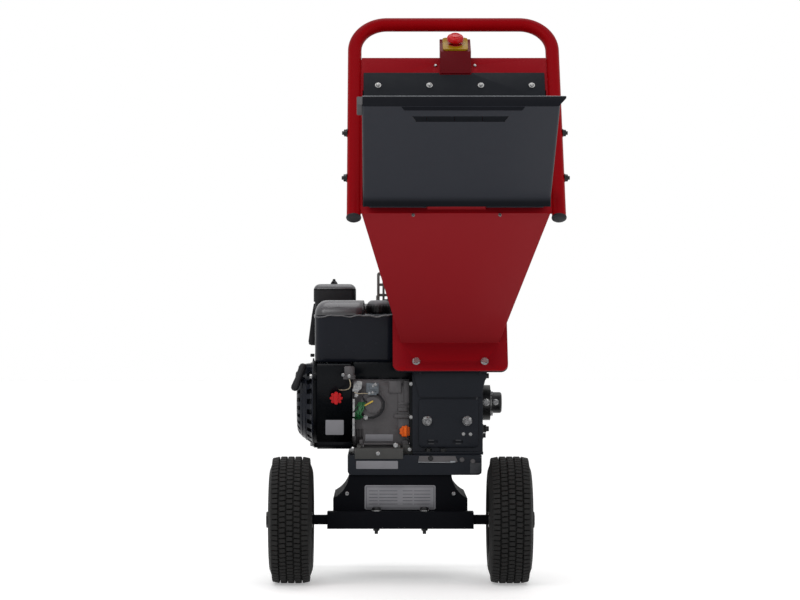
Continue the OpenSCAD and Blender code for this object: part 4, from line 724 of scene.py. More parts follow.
bm = bmesh.new()
for x in (-handle["half"], handle["half"]):
    addLathe(bm, handle["plug"], at(x, 0, -handle["tail"], mouthFrame), 48)
finishPiece("tubePlugs", bm, "mouldedBlack", ["tube_caps"], angle=50)


# stop button: mushroom head with a ring moulded on top, on a yellow plate
stop = {"radius": 17, "low": 10.5, "high": 23.6, "stem": 8, "collar": 15.4,
        "plate": (-25.5, 25.5, -27, 27, 5), "plateZ": (0.2, 4.2)}
bm = bmesh.new()
rim, low, top = stop["radius"], stop["low"], stop["high"]
addLathe(bm, [(0, -14), (stop["stem"], -14), (stop["stem"], low), (rim - 1.4, low), (rim - 0.3, low + 0.8),
              (rim, low + 2), (rim, low + 5), (rim - 0.5, low + 7), (rim - 1.8, low + 9.2), (rim - 3.8, low + 10.6),
              (rim - 5.4, low + 11.2), (rim - 6, low + 11.3), (rim - 6.4, low + 12.6), (rim - 7.2, top - 0.2),
              (rim - 8.2, top - 0.2), (rim - 8.9, low + 12.4), (rim - 9.3, low + 11.4), (rim - 12, low + 11.6),
              (0, low + 11.7)], buttonFrame, 64)
finishPiece("stopKnob", bm, "switchRed", ["stop_button"], angle=50)

bm = bmesh.new()
addPlate(bm, roundedBox(*stop["plate"]), *stop["plateZ"], buttonFrame, 1)
finishPiece("stopPlate", bm, "stopYellow", ["stop_switch_plate"])
bm = bmesh.new()
wide = stop["collar"]
addLathe(bm, [(wide - 5.2, 4.1), (wide, 4.1), (wide, 4.5), (wide - 0.4, 5), (wide - 1, 5.2), (wide - 5.2, 5.2)],
         buttonFrame, 64, True)
trimPiece("stopCollar", bm, "stopRed", angle=50)


# fuel cap: a moulded dome with grips round the rim
caps = {"at": (-46, 177, 569), "radius": 26, "low": 3.0, "grips": 24}
capPlace = at(*caps["at"])
bm = bmesh.new()
r, low = caps["radius"], caps["low"]
addLathe(bm, [(0, -2), (16.4, -2), (16.4, low), (r - 1, low), (r, low + 1), (r, low + 15), (r - 0.8, low + 19),
              (r - 3, low + 23), (r - 7, low + 26.4), (r - 10, low + 27.4), (r - 11, low + 26.6), (r - 18, low + 27.4),
              (0, low + 27.8)], capPlace, 72)
grip = bmesh.new()
addBox(grip, (-2, -1.6, 0), (1.9, 1.6, 15.5), 0.9, 2)
ringed(bm, templateObject(grip), caps["grips"], r, capPlace @ at(0, 0, low + 1), "capBlack")
finishPiece("fuelCapMoulded", bm, "capBlack", ["fuel_cap"])


# oil cap and engine switch: turned knobs with lobes round the rim and a bar to grip
knobs = {
    "oilCapMoulded": {
        "node": "oil_cap", "finish": "capOrange", "at": (11, 80, 318), "lobes": 9, "ring": 11.3,
        "profile": [(0, -15.6), (9, -15.6), (9, 6.3), (11, 6.3), (11.4, 7), (11.4, 13), (10.6, 14.3), (8, 14.6),
                    (0, 14.7)],
        "lobe": ((-1.6, 0, 6.4), (-1.6, 0, 14), 3.2, 1, 14), "bar": ((8, 57.4, 307), (14, 66, 329), 1.6, 3)},
    "switchKnob": {
        "node": "engine_switch", "finish": "switchRed", "at": (-137, 57, 390), "lobes": 8, "ring": 12,
        "profile": [(0, -8), (4, -8), (4, 0.4), (10.4, 0.4), (11, 1), (11, 11), (10, 12.8), (8, 13.4), (0, 13.4)],
        "lobe": ((-1.4, 0, 0.6), (-1.4, 0, 12.4), 3.4, 1.2, 14), "bar": ((-141, 37, 377), (-133, 45, 403), 2, 3)},
}
for name, knob in knobs.items():
    place = at(*knob["at"]) @ outFront
    bm, lobe = bmesh.new(), bmesh.new()
    addLathe(bm, knob["profile"], place, 48)
    addRod(lobe, *knob["lobe"])
    ringed(bm, templateObject(lobe), knob["lobes"], knob["ring"], place, knob["finish"])
    addBox(bm, *knob["bar"])
    finishPiece(name, bm, knob["finish"], [knob["node"]])


# pull starter grip with its cord of three strands
cord = {"strands": 3, "strandTurn": 2.094, "radius": 1.25, "twist": 0.7, "points": 64, "start": -9.5, "step": 1.5,
        "gripAt": (0, -8, 95), "gripTurn": -20, "sleeve": [(0, 80), (5, 80), (6.6, 82), (7, 86), (7, 93)],
        "halfGrip": [(7.2, 6), (8, 14), (8.4, 24), (7.4, 28.8), (4.5, 31.4), (0, 32)]}
bm = bmesh.new()
gripAxis = ropeFrame @ at(*cord["gripAt"]) @ turned(cord["gripTurn"], "Z") @ turned(90, "X")
halfGrip = cord["halfGrip"]
addLathe(bm, [(r, -h) for r, h in halfGrip[::-1]] + halfGrip, gripAxis, 40)
addLathe(bm, cord["sleeve"], ropeFrame, 32)
finishPiece("pullGrip", bm, "mouldedBlack", ["starter_handle"], angle=50)
bm = bmesh.new()
for strand in range(cord["strands"]):
    line = []
    for k in range(cord["points"]):
        a = k * cord["twist"] + strand * cord["strandTurn"]
        line.append(ropeFrame @ Vector((cord["radius"] * math.cos(a), cord["radius"] * math.sin(a),
                                        cord["start"] + k * cord["step"])))
    addTube(bm, line, cord["radius"], 8)
finishPiece("pullCord", bm, "cordWhite", (), body="starter_pull", angle=60)


# recoil cover: a tapered dish with vents cut through its side and face
recoil = {
    "profile": [(97, 0), (97, 2.6), (93, 3), (89, 4.4), (86, 9), (82.6, 14), (79, 19), (75, 24), (70.6, 29),
                (66, 32.8), (60, 35.6), (53, 36.8), (30, 36.8), (24, 36.8), (20, 35.6), (0, 35.6)],
    "segments": 96, "wall": 2.2,
    # heights, radii, and which of every so many steps round are open
    "vents": [((29, 35.8), (58, 97), 4, (1, 2)), ((36.5, 40), (30, 53), 6, (1, 2, 3)),
              ((4.6, 14), (80, 97), 4, (0, 1))],
    "x": -187, "pulleyX": -208.4, "bossX": (-223.4, -206), "bossRadius": 6, "ribs": ((16.5, 80.8), (24, 75)),
    "hoodBox": (118, 192, 428, 461, 9), "hood": ((-186, -4), (-200, -2), (-212, 3), (-218, 8), (-220.5, 13)),
    "guide": [(3.4, 60), (7.4, 60), (8, 61), (8, 79), (7, 80), (4.4, 80), (3.4, 79)],
    "screen": [(84, 0.4), (82, 4), (76, 14), (70, 22), (69, 22), (75, 14), (81, 4), (83, 0.4)],
    "pulley": [(7, 0), (12, 0), (39, 0), (40, 0.6), (39, 2), (33.6, 3.4), (33.6, 9.4), (39, 10.8), (40, 11.8),
               (39, 12.4), (12, 12.4), (7, 12.4)],
}


def isVent(face):
    mid = face.calc_center_median()
    step = int((math.degrees(math.atan2(mid.y, mid.x)) % 360) / (360 / recoil["segments"]))
    return any(low < mid.z < high and inner < mid.xy.length < outer and step % period in steps
               for (low, high), (inner, outer), period, steps in recoil["vents"])


def makeRecoil():
    place = crankSpot(recoil["x"]) @ outLeft
    bm = bmesh.new()
    count = recoil["segments"]
    addLathe(bm, recoil["profile"], segments=count)
    bmesh.ops.delete(bm, geom=[f for f in bm.faces if isVent(f)], context="FACES")
    bmesh.ops.recalc_face_normals(bm, faces=bm.faces)
    if max(bm.faces, key=lambda f: f.calc_center_median().z).normal.z < 0:
        bmesh.ops.reverse_faces(bm, faces=bm.faces)
    thicken(bm, list(bm.verts), list(bm.faces), recoil["wall"])
    moved(bm, place)
    # ribs pressed round the flank, the guide where the cord leaves, the hood over it and the middle boss
    for h, r in recoil["ribs"]:
        addLathe(bm, [(r - 2, h - 1.4), (r + 0.8, h - 0.9), (r + 0.8, h + 0.9), (r - 2, h + 1.4)], place, count)
    addLathe(bm, recoil["guide"], ropeFrame, 36, True)
    y0, y1, z0, z1, corner = recoil["hoodBox"]
    addLoft(bm, [[(x, y, z) for y, z in roundedBox(y0 + e, y1 - e, z0, z1 - e * 0.4, corner)]
                 for x, e in recoil["hood"]])
    addRod(bm, *[crankSpot(x).to_translation() for x in recoil["bossX"]], recoil["bossRadius"])
    finishPiece("recoilCover", bm, "stoveBlack", ["recoil_housing"], angle=38)
    bm = bmesh.new()
    addLathe(bm, recoil["screen"], place, count, True)
    trimPiece("recoilScreen", bm, "shroudBlack", angle=38)
    bm = bmesh.new()
    addLathe(bm, recoil["pulley"], crankSpot(recoil["pulleyX"]) @ outLeft, 72, True)
    finishPiece("startPulley", bm, "mouldedBlack", ["starter_pulley"], angle=38)


makeRecoil()


# feed tray: one folded sheet with a slot, its lower bend hiding the hinge, a lip with a return and two side walls
tray = {"half": 181.5, "length": 343.6, "face": -7, "wall": 2, "bendStart": 42.4, "bend": 20, "bendTurn": 59, "tail": 5,
        "slot": (312, 294), "slotHalf": (91, 83), "lip": 14.6, "ear": 195.3, "tabTurn": 33,
        "rolled": [(0, 2.8), (0.3, 1.6), (1.0, 0.7), (2.0, 0.2), (3.2, 0)], "barrels": (-171, 59),
        "barrel": (112, 7), "leaf": (-5.2, -3.4, 46), "leafX": (-60, 60),
        "tab": [(-113, 1), (-105, -8.4), (113, -8.4), (121, 1)],
        "catch": [(310, -5), (344, -5), (344, 13), (335, 14), (327, 8), (310, 5)]}
sideways = Matrix(((0, 0, 1, 0), (0, 1, 0, 0), (1, 0, 0, 0), (0, 0, 0, 1)))


def trayLine():
    # (z, p, outward z, outward p) down the outer face
    line = [(z, tray["face"], 0, -1) for z in (tray["length"], *tray["slot"], 180, tray["bendStart"])]
    for k in range(1, 9):
        a = math.radians(tray["bendTurn"] * k / 8)
        line.append((tray["bendStart"] - tray["bend"] * math.sin(a), tray["face"] - tray["bend"] * (1 - math.cos(a)),
                     math.sin(a), -math.cos(a)))
    z, p, outZ, outP = line[-1]
    return line + [(z + tray["tail"] * outP, p - tray["tail"] * outZ, outZ, outP)]


def makeTray():
    half, end, lip = tray["half"], tray["length"], tray["lip"]
    rows = []
    for k, (z, p, outZ, outP) in enumerate(trayLine()):
        mid = tray["slotHalf"][0 if k < 2 else 1]
        right = [(mid, 0)] + [(half - e, lift) for e, lift in tray["rolled"][::-1]]
        across = [(-x, lift) for x, lift in right[::-1]] + right
        rows.append([(x, p - outP * lift, z - outZ * lift) for x, lift in across])
    bm = bmesh.new()
    addSheet(bm, rows, skip={(1, len(tray["rolled"]))}, wall=tray["wall"])
    side = [(14, -4), (end - 1, -4), (end - 1, lip - 1), (40, 38), (14, 34)]
    for x in (-half, half - 2):
        addPlate(bm, side, x, x + 2, sideways, 0.7)
    ear = [(-half, -7), (half, -7), (tray["ear"], 10.6), (tray["ear"], lip), (-half - 1.5, lip), (-half - 1.5, 9)]
    addPlate(bm, ear, end - 2, end, round=0.8)
    addPlate(bm, tray["tab"], -0.2, 1.6, at(0, -6.8, end - 2) @ turned(tray["tabTurn"], "X"), 0.5)
    # hinge barrels and leaves
    (long, r), (p0, p1, high), (left, right) = tray["barrel"], tray["leaf"], tray["leafX"]
    for x in tray["barrels"]:
        addRod(bm, (x, 0, 0), (x + long, 0, 0), r, 0.6, 32)
        addBox(bm, (x, p0, 0), (x + long, p1, high), 0.4)
    addBox(bm, (left, p0, r + 2), (right, p1, high), 0.4)
    moved(bm, trayFrame)
    finishPiece("feedTray", bm, "trayBlackPaintedReflection", ["feed_tray"], angle=32)
    # light grey strips along the lip and down both edges, the sheet's folded edges: painted highlight
    bm = bmesh.new()
    addTube(bm, [(-half - 1.2, lip, end - 1), (tray["ear"] - 1, lip, end - 1)], 0.9, 10)
    for x0, x1 in ((-half - 0.3, -half + 2.7), (half - 1.1, half + 0.3)):
        addBox(bm, (x0, -7.5, tray["bendStart"] - 2), (x1, -4.6, end - 3), 0.5)
    moved(bm, trayFrame)
    finishPiece("trayHem", bm, "paintedEdgeHighlight", (), "tray", angle=50)
    bm = bmesh.new()
    addPlate(bm, tray["catch"], -half - 11.5, -half - 0.6, sideways, 1.4)
    moved(bm, trayFrame)
    finishPiece("trayCatch", bm, "castAlloy", (), "tray", angle=35)


makeTray()


# splash flap: a rubber strip clamped across the mouth with six tongues hanging from it
flap = {"half": 183.5, "foot": 168, "clamp": (264, 332), "notch": (-29.5, 35.5, 326), "slits": (-112, -56, 0, 56, 112),
        "drop": 178, "steps": 12, "wall": 3, "curl": (5, -4, 6, -6, 3, -5), "bow": 2.2,
        "front": 8.2, "screws": (-154, -50, 54, 157), "screwsAt": 300, "boxScrews": (-37, 43), "boxScrewsAt": (-8, 352),
        "screw": [(0, 0), (6.4, 0), (6.4, 1), (5.6, 1.6), (4.4, 1.6), (4.2, 2.4), (3.2, 3.8), (1.6, 4.4), (1.2, 3.4),
                  (0, 3.4)],
        "boxScrew": [(0, -1), (3.1, -1), (3.1, 1), (2.2, 2), (0, 2.2)]}


def makeFlap():
    bm = bmesh.new()
    front, wall = flap["front"], flap["wall"]
    half, (low, top), (left, right, under) = flap["half"], flap["clamp"], flap["notch"]
    outline = [(-half, low), (half, low), (half, top), (right, top), (right, under), (left, under), (left, top),
               (-half, top)]
    addPlate(bm, outline, front, front + wall, mouthFrame @ turned(90, "X"), 0.7)
    edges = (-1, *flap["slits"], 1)
    for n, (a, b) in enumerate(zip(edges, edges[1:])):
        y, s, rows = -front - wall - 0.2, low + 3, []
        for k in range(flap["steps"] + 1):
            share = k / flap["steps"]
            wide = half - 2 + (flap["foot"] - half + 2) * share
            x0, x1 = (-wide if a == -1 else a + 0.4), (wide if b == 1 else b - 0.4)
            bow = flap["bow"] * share * (1 if n % 2 else -1)
            rows.append([(x0 + (x1 - x0) * c / 6, y + bow * math.sin(math.pi * c / 6), s) for c in range(7)])
            lean = math.radians(min(machine["lean"], machine["lean"] * k / 2) + flap["curl"][n] * share * share)
            y += math.sin(lean) * flap["drop"] / flap["steps"]
            s -= math.cos(lean) * flap["drop"] / flap["steps"]
        addSheet(bm, [row[::-1] for row in rows], mouthFrame, wall=wall)
    finishPiece("splashFlap", bm, "flapRubber", ["splash_curtain"])
    bm = bmesh.new()
    for x in flap["screws"]:
        addLathe(bm, flap["screw"], at(x, -front - wall - 0.2, flap["screwsAt"], mouthFrame) @ outFront, 24)
    for x in flap["boxScrews"]:
        addLathe(bm, flap["boxScrew"], at(x, *flap["boxScrewsAt"], mouthFrame) @ outFront, 16)
    finishPiece("flapScrews", bm, "zincPlate", ["hopper_screws"], angle=35)


makeFlap()
print("tray and flap folded")


# fuel tank: pressed lower half, domed upper half and the wavy rolled seam between
tank = {
    "x": (-184.6, -6), "y": (116.4, 252), "low": 464, "seam": 565, "corner": 22, "dome": -75.5, "top": 600,
    # heights above the bottom, the seam and the seam again, with how far the wall steps in
    "foot": [(0, 5), (1.5, 2), (5, 0.4), (10, 0)], "shoulder": [(-6, 0), (1, 0), (3, 4), (4.4, 10), (5, 18)],
    "lobe": [(2, 0), (14, 1.5), (23, 6), (26, 12), (27, 16)], "lobeAt": (-96, 208), "lobeCorner": 18,
    # how far the dome draws in at its left, right, front, back and corners
    "domeIn": (24, 4, 36, 30, 8), "domeSteps": 12,
    "seamRadius": 1.9, "wave": ((1.5, 9.5), (0.9, 4.7)), "step": 3,
    "creaseAt": (14, 6.2, 582.5), "creaseStep": 5.4, "creasePoints": 15, "creaseRadius": 1.1,
}


def seamLine(ring):
    # the ring walked in short steps, rising and falling as it goes
    line, run = [], 0
    for p in ring + ring[:1]:
        last = line[-1] if line else Vector(p)
        gap = (Vector(p).xy - last.xy).length
        count = max(int(gap / tank["step"]), 1)
        for c in range(count):
            run += min(gap, tank["step"])
            spot = last.lerp(Vector(p), (c + 1) / count)
            lift = sum(size * math.sin(run / length) for size, length in tank["wave"])
            line.append(Vector((spot.x, spot.y, tank["seam"] + lift)))
        line[-1] = Vector((p[0], p[1], line[-1].z))
    return line


def makeTank():
    (x0, x1), (y0, y1), r, seam = tank["x"], tank["y"], tank["corner"], tank["seam"]
    steps = [(tank["low"] + h, e) for h, e in tank["foot"]] + [(seam + h, e) for h, e in tank["shoulder"]]
    bm = bmesh.new()
    addLoft(bm, [level(x0 + e, x1 - e, y0 + e, y1 - e, max(r - e, 4), z) for z, e in steps])
    finishPiece("tankBody", bm, "stoveBlack", ["fuel_tank"])
    bm = bmesh.new()
    left, right, near, far, turn = tank["domeIn"]
    rings = []
    for k in range(tank["domeSteps"] + 1):
        a = math.pi / 2 * k / tank["domeSteps"]
        b, z = 1 - math.cos(a), seam + 2 + (tank["top"] - seam - 2.4) * math.sin(a)
        rings.append(level(x0 + left * b, tank["dome"] - right * b, y0 + near * b, y1 - far * b, r - turn * b, z))
    addLoft(bm, rings)
    (x, y), bend = tank["lobeAt"], tank["lobeCorner"]
    addLoft(bm, [level(x + e, x1 - e, y + e, y1 - e, bend - e * 0.5, seam + h) for h, e in tank["lobe"]])
    # the crease pressed along the dome
    (x, y, z), count = tank["creaseAt"], tank["creasePoints"]
    addTube(bm, [(x0 + x + k * tank["creaseStep"], y0 + y + 0.6 * math.cos(k * 0.55),
                  z + 1.6 * math.sin(math.pi * k / (count - 1))) for k in range(count)], tank["creaseRadius"], 8)
    addTube(bm, seamLine(level(x0 - 0.6, x1 + 0.6, y0 - 0.6, y1 + 0.6, r, seam)), tank["seamRadius"], 10)
    trimPiece("tankDome", bm, "glossBlackPaintedSheen")


makeTank()


# blower housing: a shell open towards the starter, its front flat
shroud = {"x": (-178, -103), "y": (57, 273), "z": (280, 463), "wall": 3, "hole": 52, "corners": (18, 46, 46, 7),
          "edge": ((0, 0), (-6, 0), (-3, 0.6), (-1, 2), (0, 4.5)), "posts": (20, 140, 260), "postX": (-187, -177),
          "postRing": 90, "postRadius": 9, "border": [(86, -1), (91.5, -1), (92, 0), (92, 8.6), (86, 9.2)]}


def shroudLine(inset):
    (y0, y1), (z0, z1) = shroud["y"], shroud["z"]
    a, b, c, d = shroud["corners"]
    return (arc((y0 + a, z0 + a), a - inset, 180, 270, 8) + arc((y1 - b, z0 + b), b - inset, 270, 360, 10)
            + arc((y1 - c, z1 - c), c - inset, 0, 90, 10) + arc((y0 + d, z1 - d), d - inset, 90, 180, 6))


def makeShroud():
    bm = bmesh.new()
    x0, x1 = shroud["x"]
    rows = [[((x1 if k else x0) + back, y, z) for y, z in shroudLine(e)] for k, (back, e) in enumerate(shroud["edge"])]
    middle = Vector((machine["crankY"], machine["crankZ"]))
    rows.append([(x1, *(middle + (Vector((y, z)) - middle).normalized() * shroud["hole"])) for x, y, z in rows[-1]])
    addSheet(bm, [row + row[:1] for row in rows], wall=shroud["wall"])
    bmesh.ops.remove_doubles(bm, verts=bm.verts, dist=0.01)
    # pressed border where the starter bolts on
    addLathe(bm, shroud["border"], crankSpot(x0) @ outLeft, 96, True)
    for a in shroud["posts"]:
        ends = [crankSpot(x, shroud["postRing"], a).to_translation() for x in shroud["postX"]]
        addRod(bm, *ends, shroud["postRadius"], 0.6, 24)
    finishPiece("blowerShroud", bm, "shroudBlack", ["fan_shroud"])


makeShroud()


# air cleaner: box with a slanted intake at its side, a skirted lid with a rolled top and a wing nut
cleaner = {
    "x": (-191, -97), "y": (262, 340), "low": 490, "lid": 596, "top": 635.6, "round": 14, "corner": 11,
    "intake": [(-191, 592), (-195.5, 566), (-203, 508), (-201.6, 501), (-196, 499), (-186, 499), (-186, 592)],
    "slats": 4, "slatAt": (-200.8, 514), "slatStep": (2.0, 14), "nutAt": (-146, 301), "nutTurn": 75,
    "nut": [(0, 0), (8, 0), (8, 2), (7, 4), (5, 6.6), (3, 7.4), (3, 11), (2.4, 12), (0, 12)],
    "wing": [(3, 1), (8, 1.6), (11.4, 5), (10.6, 8), (7, 7), (3, 5)],
}


def makeCleaner():
    (x0, x1), (y0, y1), r = cleaner["x"], cleaner["y"], cleaner["corner"]
    low, lid, top, bend = cleaner["low"], cleaner["lid"], cleaner["top"], cleaner["round"]
    bm = bmesh.new()
    addLoft(bm, [level(x0 + e, x1 - e, y0 + e, y1 - e, r, z) for z, e in ((low, 6), (low + 6, 3), (lid + 2, 2.4))])
    addFront(bm, cleaner["intake"], 280, 326, 4)
    for k in range(cleaner["slats"]):
        x, z = (start + k * step for start, step in zip(cleaner["slatAt"], cleaner["slatStep"]))
        addBox(bm, (x, 284, z), (-192, 322, z + 3), 1)
    finishPiece("cleanerBox", bm, "mouldedBlack", ["air_filter_box"])
    bm = bmesh.new()
    rings = [level(x0, x1, y0, y1, r, z) for z in (lid, lid + 3, top - bend)]
    for k in range(1, 8):
        a = math.pi / 2 * k / 7
        e = bend * (1 - math.cos(a))
        rings.append(level(x0 + e, x1 - e, y0 + e, y1 - e, max(r - e * 0.3, 3), top - bend * (1 - math.sin(a))))
    addLoft(bm, rings[:4])
    finishPiece("cleanerSkirt", bm, "mouldedBlack", ["air_filter_cover"])
    bm = bmesh.new()
    addLoft(bm, rings[2:])
    trimPiece("cleanerLid", bm, "glossBlackPaintedSheen")
    # stud, nut and its two wings
    bm = bmesh.new()
    addLathe(bm, cleaner["nut"], at(*cleaner["nutAt"], top - 0.6), 24)
    nutPlace = at(*cleaner["nutAt"], top) @ turned(cleaner["nutTurn"], "Z") @ outFront
    for m in (-1, 1):
        wing = [(m * x, z) for x, z in cleaner["wing"]]
        addPlate(bm, wing[::-m], -1.6, 1.6, nutPlace, 0.7)
    trimPiece("wingNut", bm, "mouldedBlack")


makeCleaner()
print("engine covers built")


# governor gear, leads and castings on the front of the engine
gear = {
    "barrel": [(0, 0), (13.5, 0), (13.5, 4), (11.2, 5), (11.2, 21), (9.6, 23.4), (0, 24)],
    "barrelAt": (-108.5, 36, 435), "seat": (-122, -96, 28, 57, 4), "seatZ": (431, 435.2),
    "stays": [([(-103, 404), (-92, 402), (-83, 410), (-81, 424), (-88, 427), (-99, 424)], 63, 66, 0.8),
              ([(-101, 410), (-93, 409), (-92, 419), (-98, 423)], 60, 62.8, 0.8),
              ([(-98, 392), (-93, 391), (-90, 404), (-97, 406)], 60.6, 62.8, 0.6)],
    "strips": [((-102.4, 58, 308), (-97.6, 60, 346), 0.5), ((-101.8, 56.5, 350), (-97.2, 58.4, 388), 0.5)],
    "stud": ((-93, 61, 396), (-93, 55.5, 396), 3.2, 0.6, 16),
    "box": [((-73, 62, 399), (-46, 80, 422), 1.6), ((-70, 58.5, 396), (-50, 64, 404), 1.2),
            ((-66, 59.5, 408), (-49, 64, 420), 1.6)],
    "screws": [(-121.6, 30, 440, 3.6), (-108.8, 24, 437.4, 4), (-53, 59.5, 418.5, 3.2), (-58, 59.5, 415, 2.6),
               (-66, 58.5, 400, 2.6), (-59, 58.5, 401.5, 2.6), (-73.4, 74, 348, 5.4), (23.2, 56, 420, 4),
               (23.2, 56, 349, 4), (20, 60, 279.5, 4)],
    "links": [([(-108.6, 34, 431), (-106.4, 34, 424), (-106, 35, 418), (-107.4, 37, 413), (-111, 40, 409.6),
                (-117, 44, 407.6), (-124, 49, 407), (-129, 53, 407.4), (-131, 57.5, 408)], 1.25),
              ([(-99, 60, 402), (-90, 59, 399), (-76, 58, 400), (-68, 59.5, 399)], 0.9)],
    "green": 6, "greenStart": -95, "greenStep": 2.6, "greenRadius": 1.7,
    "black": [([(-104, 70, 356), (-101, 58, 359), (-95, 56, 364), (-90, 62, 372), (-86, 74, 379)], 1.9),
              ([(-52, 70, 399), (-42, 67, 393), (-34.5, 66, 381), (-35.5, 66, 366), (-44, 66, 354), (-57, 67, 347.6),
                (-70, 74, 347.6)], 2.2),
              ([(-80, 76, 392), (-78, 64, 386), (-74, 62, 382), (-70, 68, 381)], 1.8)],
    "tag": [(-77, 374.4), (-75, 372.4), (-57.4, 382), (-58.6, 385)], "tagY": (61, 62.4),
    "ribs": [((-24, 75.5, 400), (3, 82, 426), 1.6), ((8.4, 75, 378), (20.6, 84, 426), 1.8),
             ((-4.5, 76.5, 374.4), (17, 82, 380.6), 1.6), ((-4.5, 76.5, 360), (17, 82, 369.6), 1.8),
             ((-13, 75.5, 345.6), (24, 84, 354.6), 2), ((-20, 77.5, 403), (-2, 80, 423), 1),
             ((-80, 80.3, 282), (9, 84, 341), 2), ((-88, 75, 284), (-80, 84, 300), 1.6),
             ((-79, 74, 288), (-12, 78, 292.4), 1)],
    "boss": [(0, 0), (7.6, 0), (7.6, 5), (6.6, 6), (3.4, 6), (3.2, 3), (0, 3)], "bossAt": (-73.4, 80, 348),
    "fins": [((-96 + k * 3.4, 78.4, 306), (-94.4 + k * 3.4, 82, 338), 0.5) for k in range(5)],
    "foot": [((-97, 9.6, 262), (6, 16, 285), 1.4), ((-97, 16, 275), (6, 82, 284), 1.2),
             ((5, 60, 268), (27, 96, 290), 1.2), ((-92, 12, 284), (-84, 80, 291), 1.2),
             ((-8, 12, 284), (0, 80, 291), 1.2)],
    "footScrews": [(-47.5, 9.6, 273.6, 4.4), (-10, 12, 291, 5)],
    # cowling boxes, dark sheet that also stands as painted shade under the tank
    "cowlAndShade": [((-101, 96, 429), (28, 112, 466), 3), ((-101, 112, 452), (20, 240, 466), 2),
             ((-195, 150, 476), (-186, 156, 483), 1.2), ((20.4, 56, 286), (26, 60, 426), 0.8)],
    "neck": [(31, 0), (82, 0), (82, 5.6), (31, 5.6)], "neckX": 20.2,
}


def greenLead(k):
    # one of a clip of leads, each with its own loose bends
    x, two, three = gear["greenStart"] + k * gear["greenStep"], k % 2, k % 3
    return [(x + 7, 70 - three, 380), (x + 4, 64 - two * 2, 374 - three), (x + (three - 1) * 3, 60 + two * 2, 366),
            (x - two * 4, 61, 358 - three * 2), (x - 3 + three * 2, 66, 350), (x - 5, 78, 344)]


def makeGear():
    bm = bmesh.new()
    addLathe(bm, gear["barrel"], at(*gear["barrelAt"]), 36)
    addPlate(bm, roundedBox(*gear["seat"]), *gear["seatZ"])
    finishPiece("coilBarrel", bm, "castAlloy", ["governor"])
    # bent stays and the long strip beside the blower housing
    bm = bmesh.new()
    for stay in gear["stays"]:
        addFront(bm, *stay)
    addBoxes(bm, gear["strips"])
    addRod(bm, *gear["stud"])
    trimPiece("governorStays", bm, "zincPlate", angle=35)
    bm = bmesh.new()
    addBoxes(bm, gear["box"])
    trimPiece("governorBox", bm, "blueGrey")
    boltPiece("gearScrews", None, frontScrews(gear["screws"], 2))
    bm = bmesh.new()
    addTubes(bm, gear["links"], 10)
    trimPiece("governorLink", bm, "linkBrass", angle=60)
    bm = bmesh.new()
    addTubes(bm, [(greenLead(k), gear["greenRadius"]) for k in range(gear["green"])], 10)
    finishPiece("earthLeads", bm, "wireGreen", ["engine_wires"], angle=60)
    bm = bmesh.new()
    addTubes(bm, gear["black"], 10)
    trimPiece("blackLeads", bm, "mouldedBlack", angle=60)
    bm = bmesh.new()
    addFront(bm, gear["tag"], *gear["tagY"], 0.4)
    trimPiece("leadTag", bm, "tagYellow")
    # pads, ribs and webs cast on the crankcase and its cover
    bm = bmesh.new()
    addBoxes(bm, gear["ribs"])
    addLathe(bm, gear["boss"], at(*gear["bossAt"]) @ outFront, 24)
    addBoxes(bm, gear["fins"])
    trimPiece("caseRibs", bm, "castAlloy")
    # foot of the engine lapping the front of the deck
    bm = bmesh.new()
    addBoxes(bm, gear["foot"])
    trimPiece("engineFoot", bm, "footAlloy")
    boltPiece("footScrews", None, frontScrews(gear["footScrews"]))
    # cowling round the cylinder under the tank, its dark sheet also standing as painted shade in the gap between tank
    # and cutter, and the ring between engine and cutter
    bm = bmesh.new()
    addBoxes(bm, gear["cowlAndShade"])
    addLathe(bm, gear["neck"], crankSpot(gear["neckX"]) @ outRight, 64, True)
    trimPiece("cylinderCowl", bm, "shroudBlack")


makeGear()
print("engine front dressed")


# cutter: foot flange, louvres, edge plates and bearing trim
cutter = {
    "louvres": ((66.5, 299.5), (66.5, 292.4), (124.5, 299.5), (124.5, 292.4)), "louvre": 12, "louvreY": 51,
    "blade": [(-2, -1.8), (2.2, -0.6), (2.2, 0.6), (-2, 1.2)],
    "pad": ((148, 9.8, 231), (172.4, 13, 254), 1.2), "tip": ((106, 8.6, 254.6), (117, 11, 258), 0.6),
    "sideEdge": [(176, 53.5, 424), (163, 53.5, 386), (158, 53.5, 364)],
    "flange": [(37.5, 255), (112, 254.4), (122, 256), (117, 268.6), (40, 268.6)], "flangeY": (9.8, 12.2),
    "flangeLine": [(38, 9.6, 255.4), (62, 9.6, 255.2), (88, 9.6, 255), (112, 9.6, 254.8)],
    "band": [(23, -1.2), (25.4, -1), (25.4, 1), (23, 1.2)], "bandX": 198.2, "headAt": (64.2, 9.8, 263.6), "head": 5.2,
    "bearingScrews": [(187, 125.8, 378, 7.6), (208, 141.6, 378, 6.4)],
}


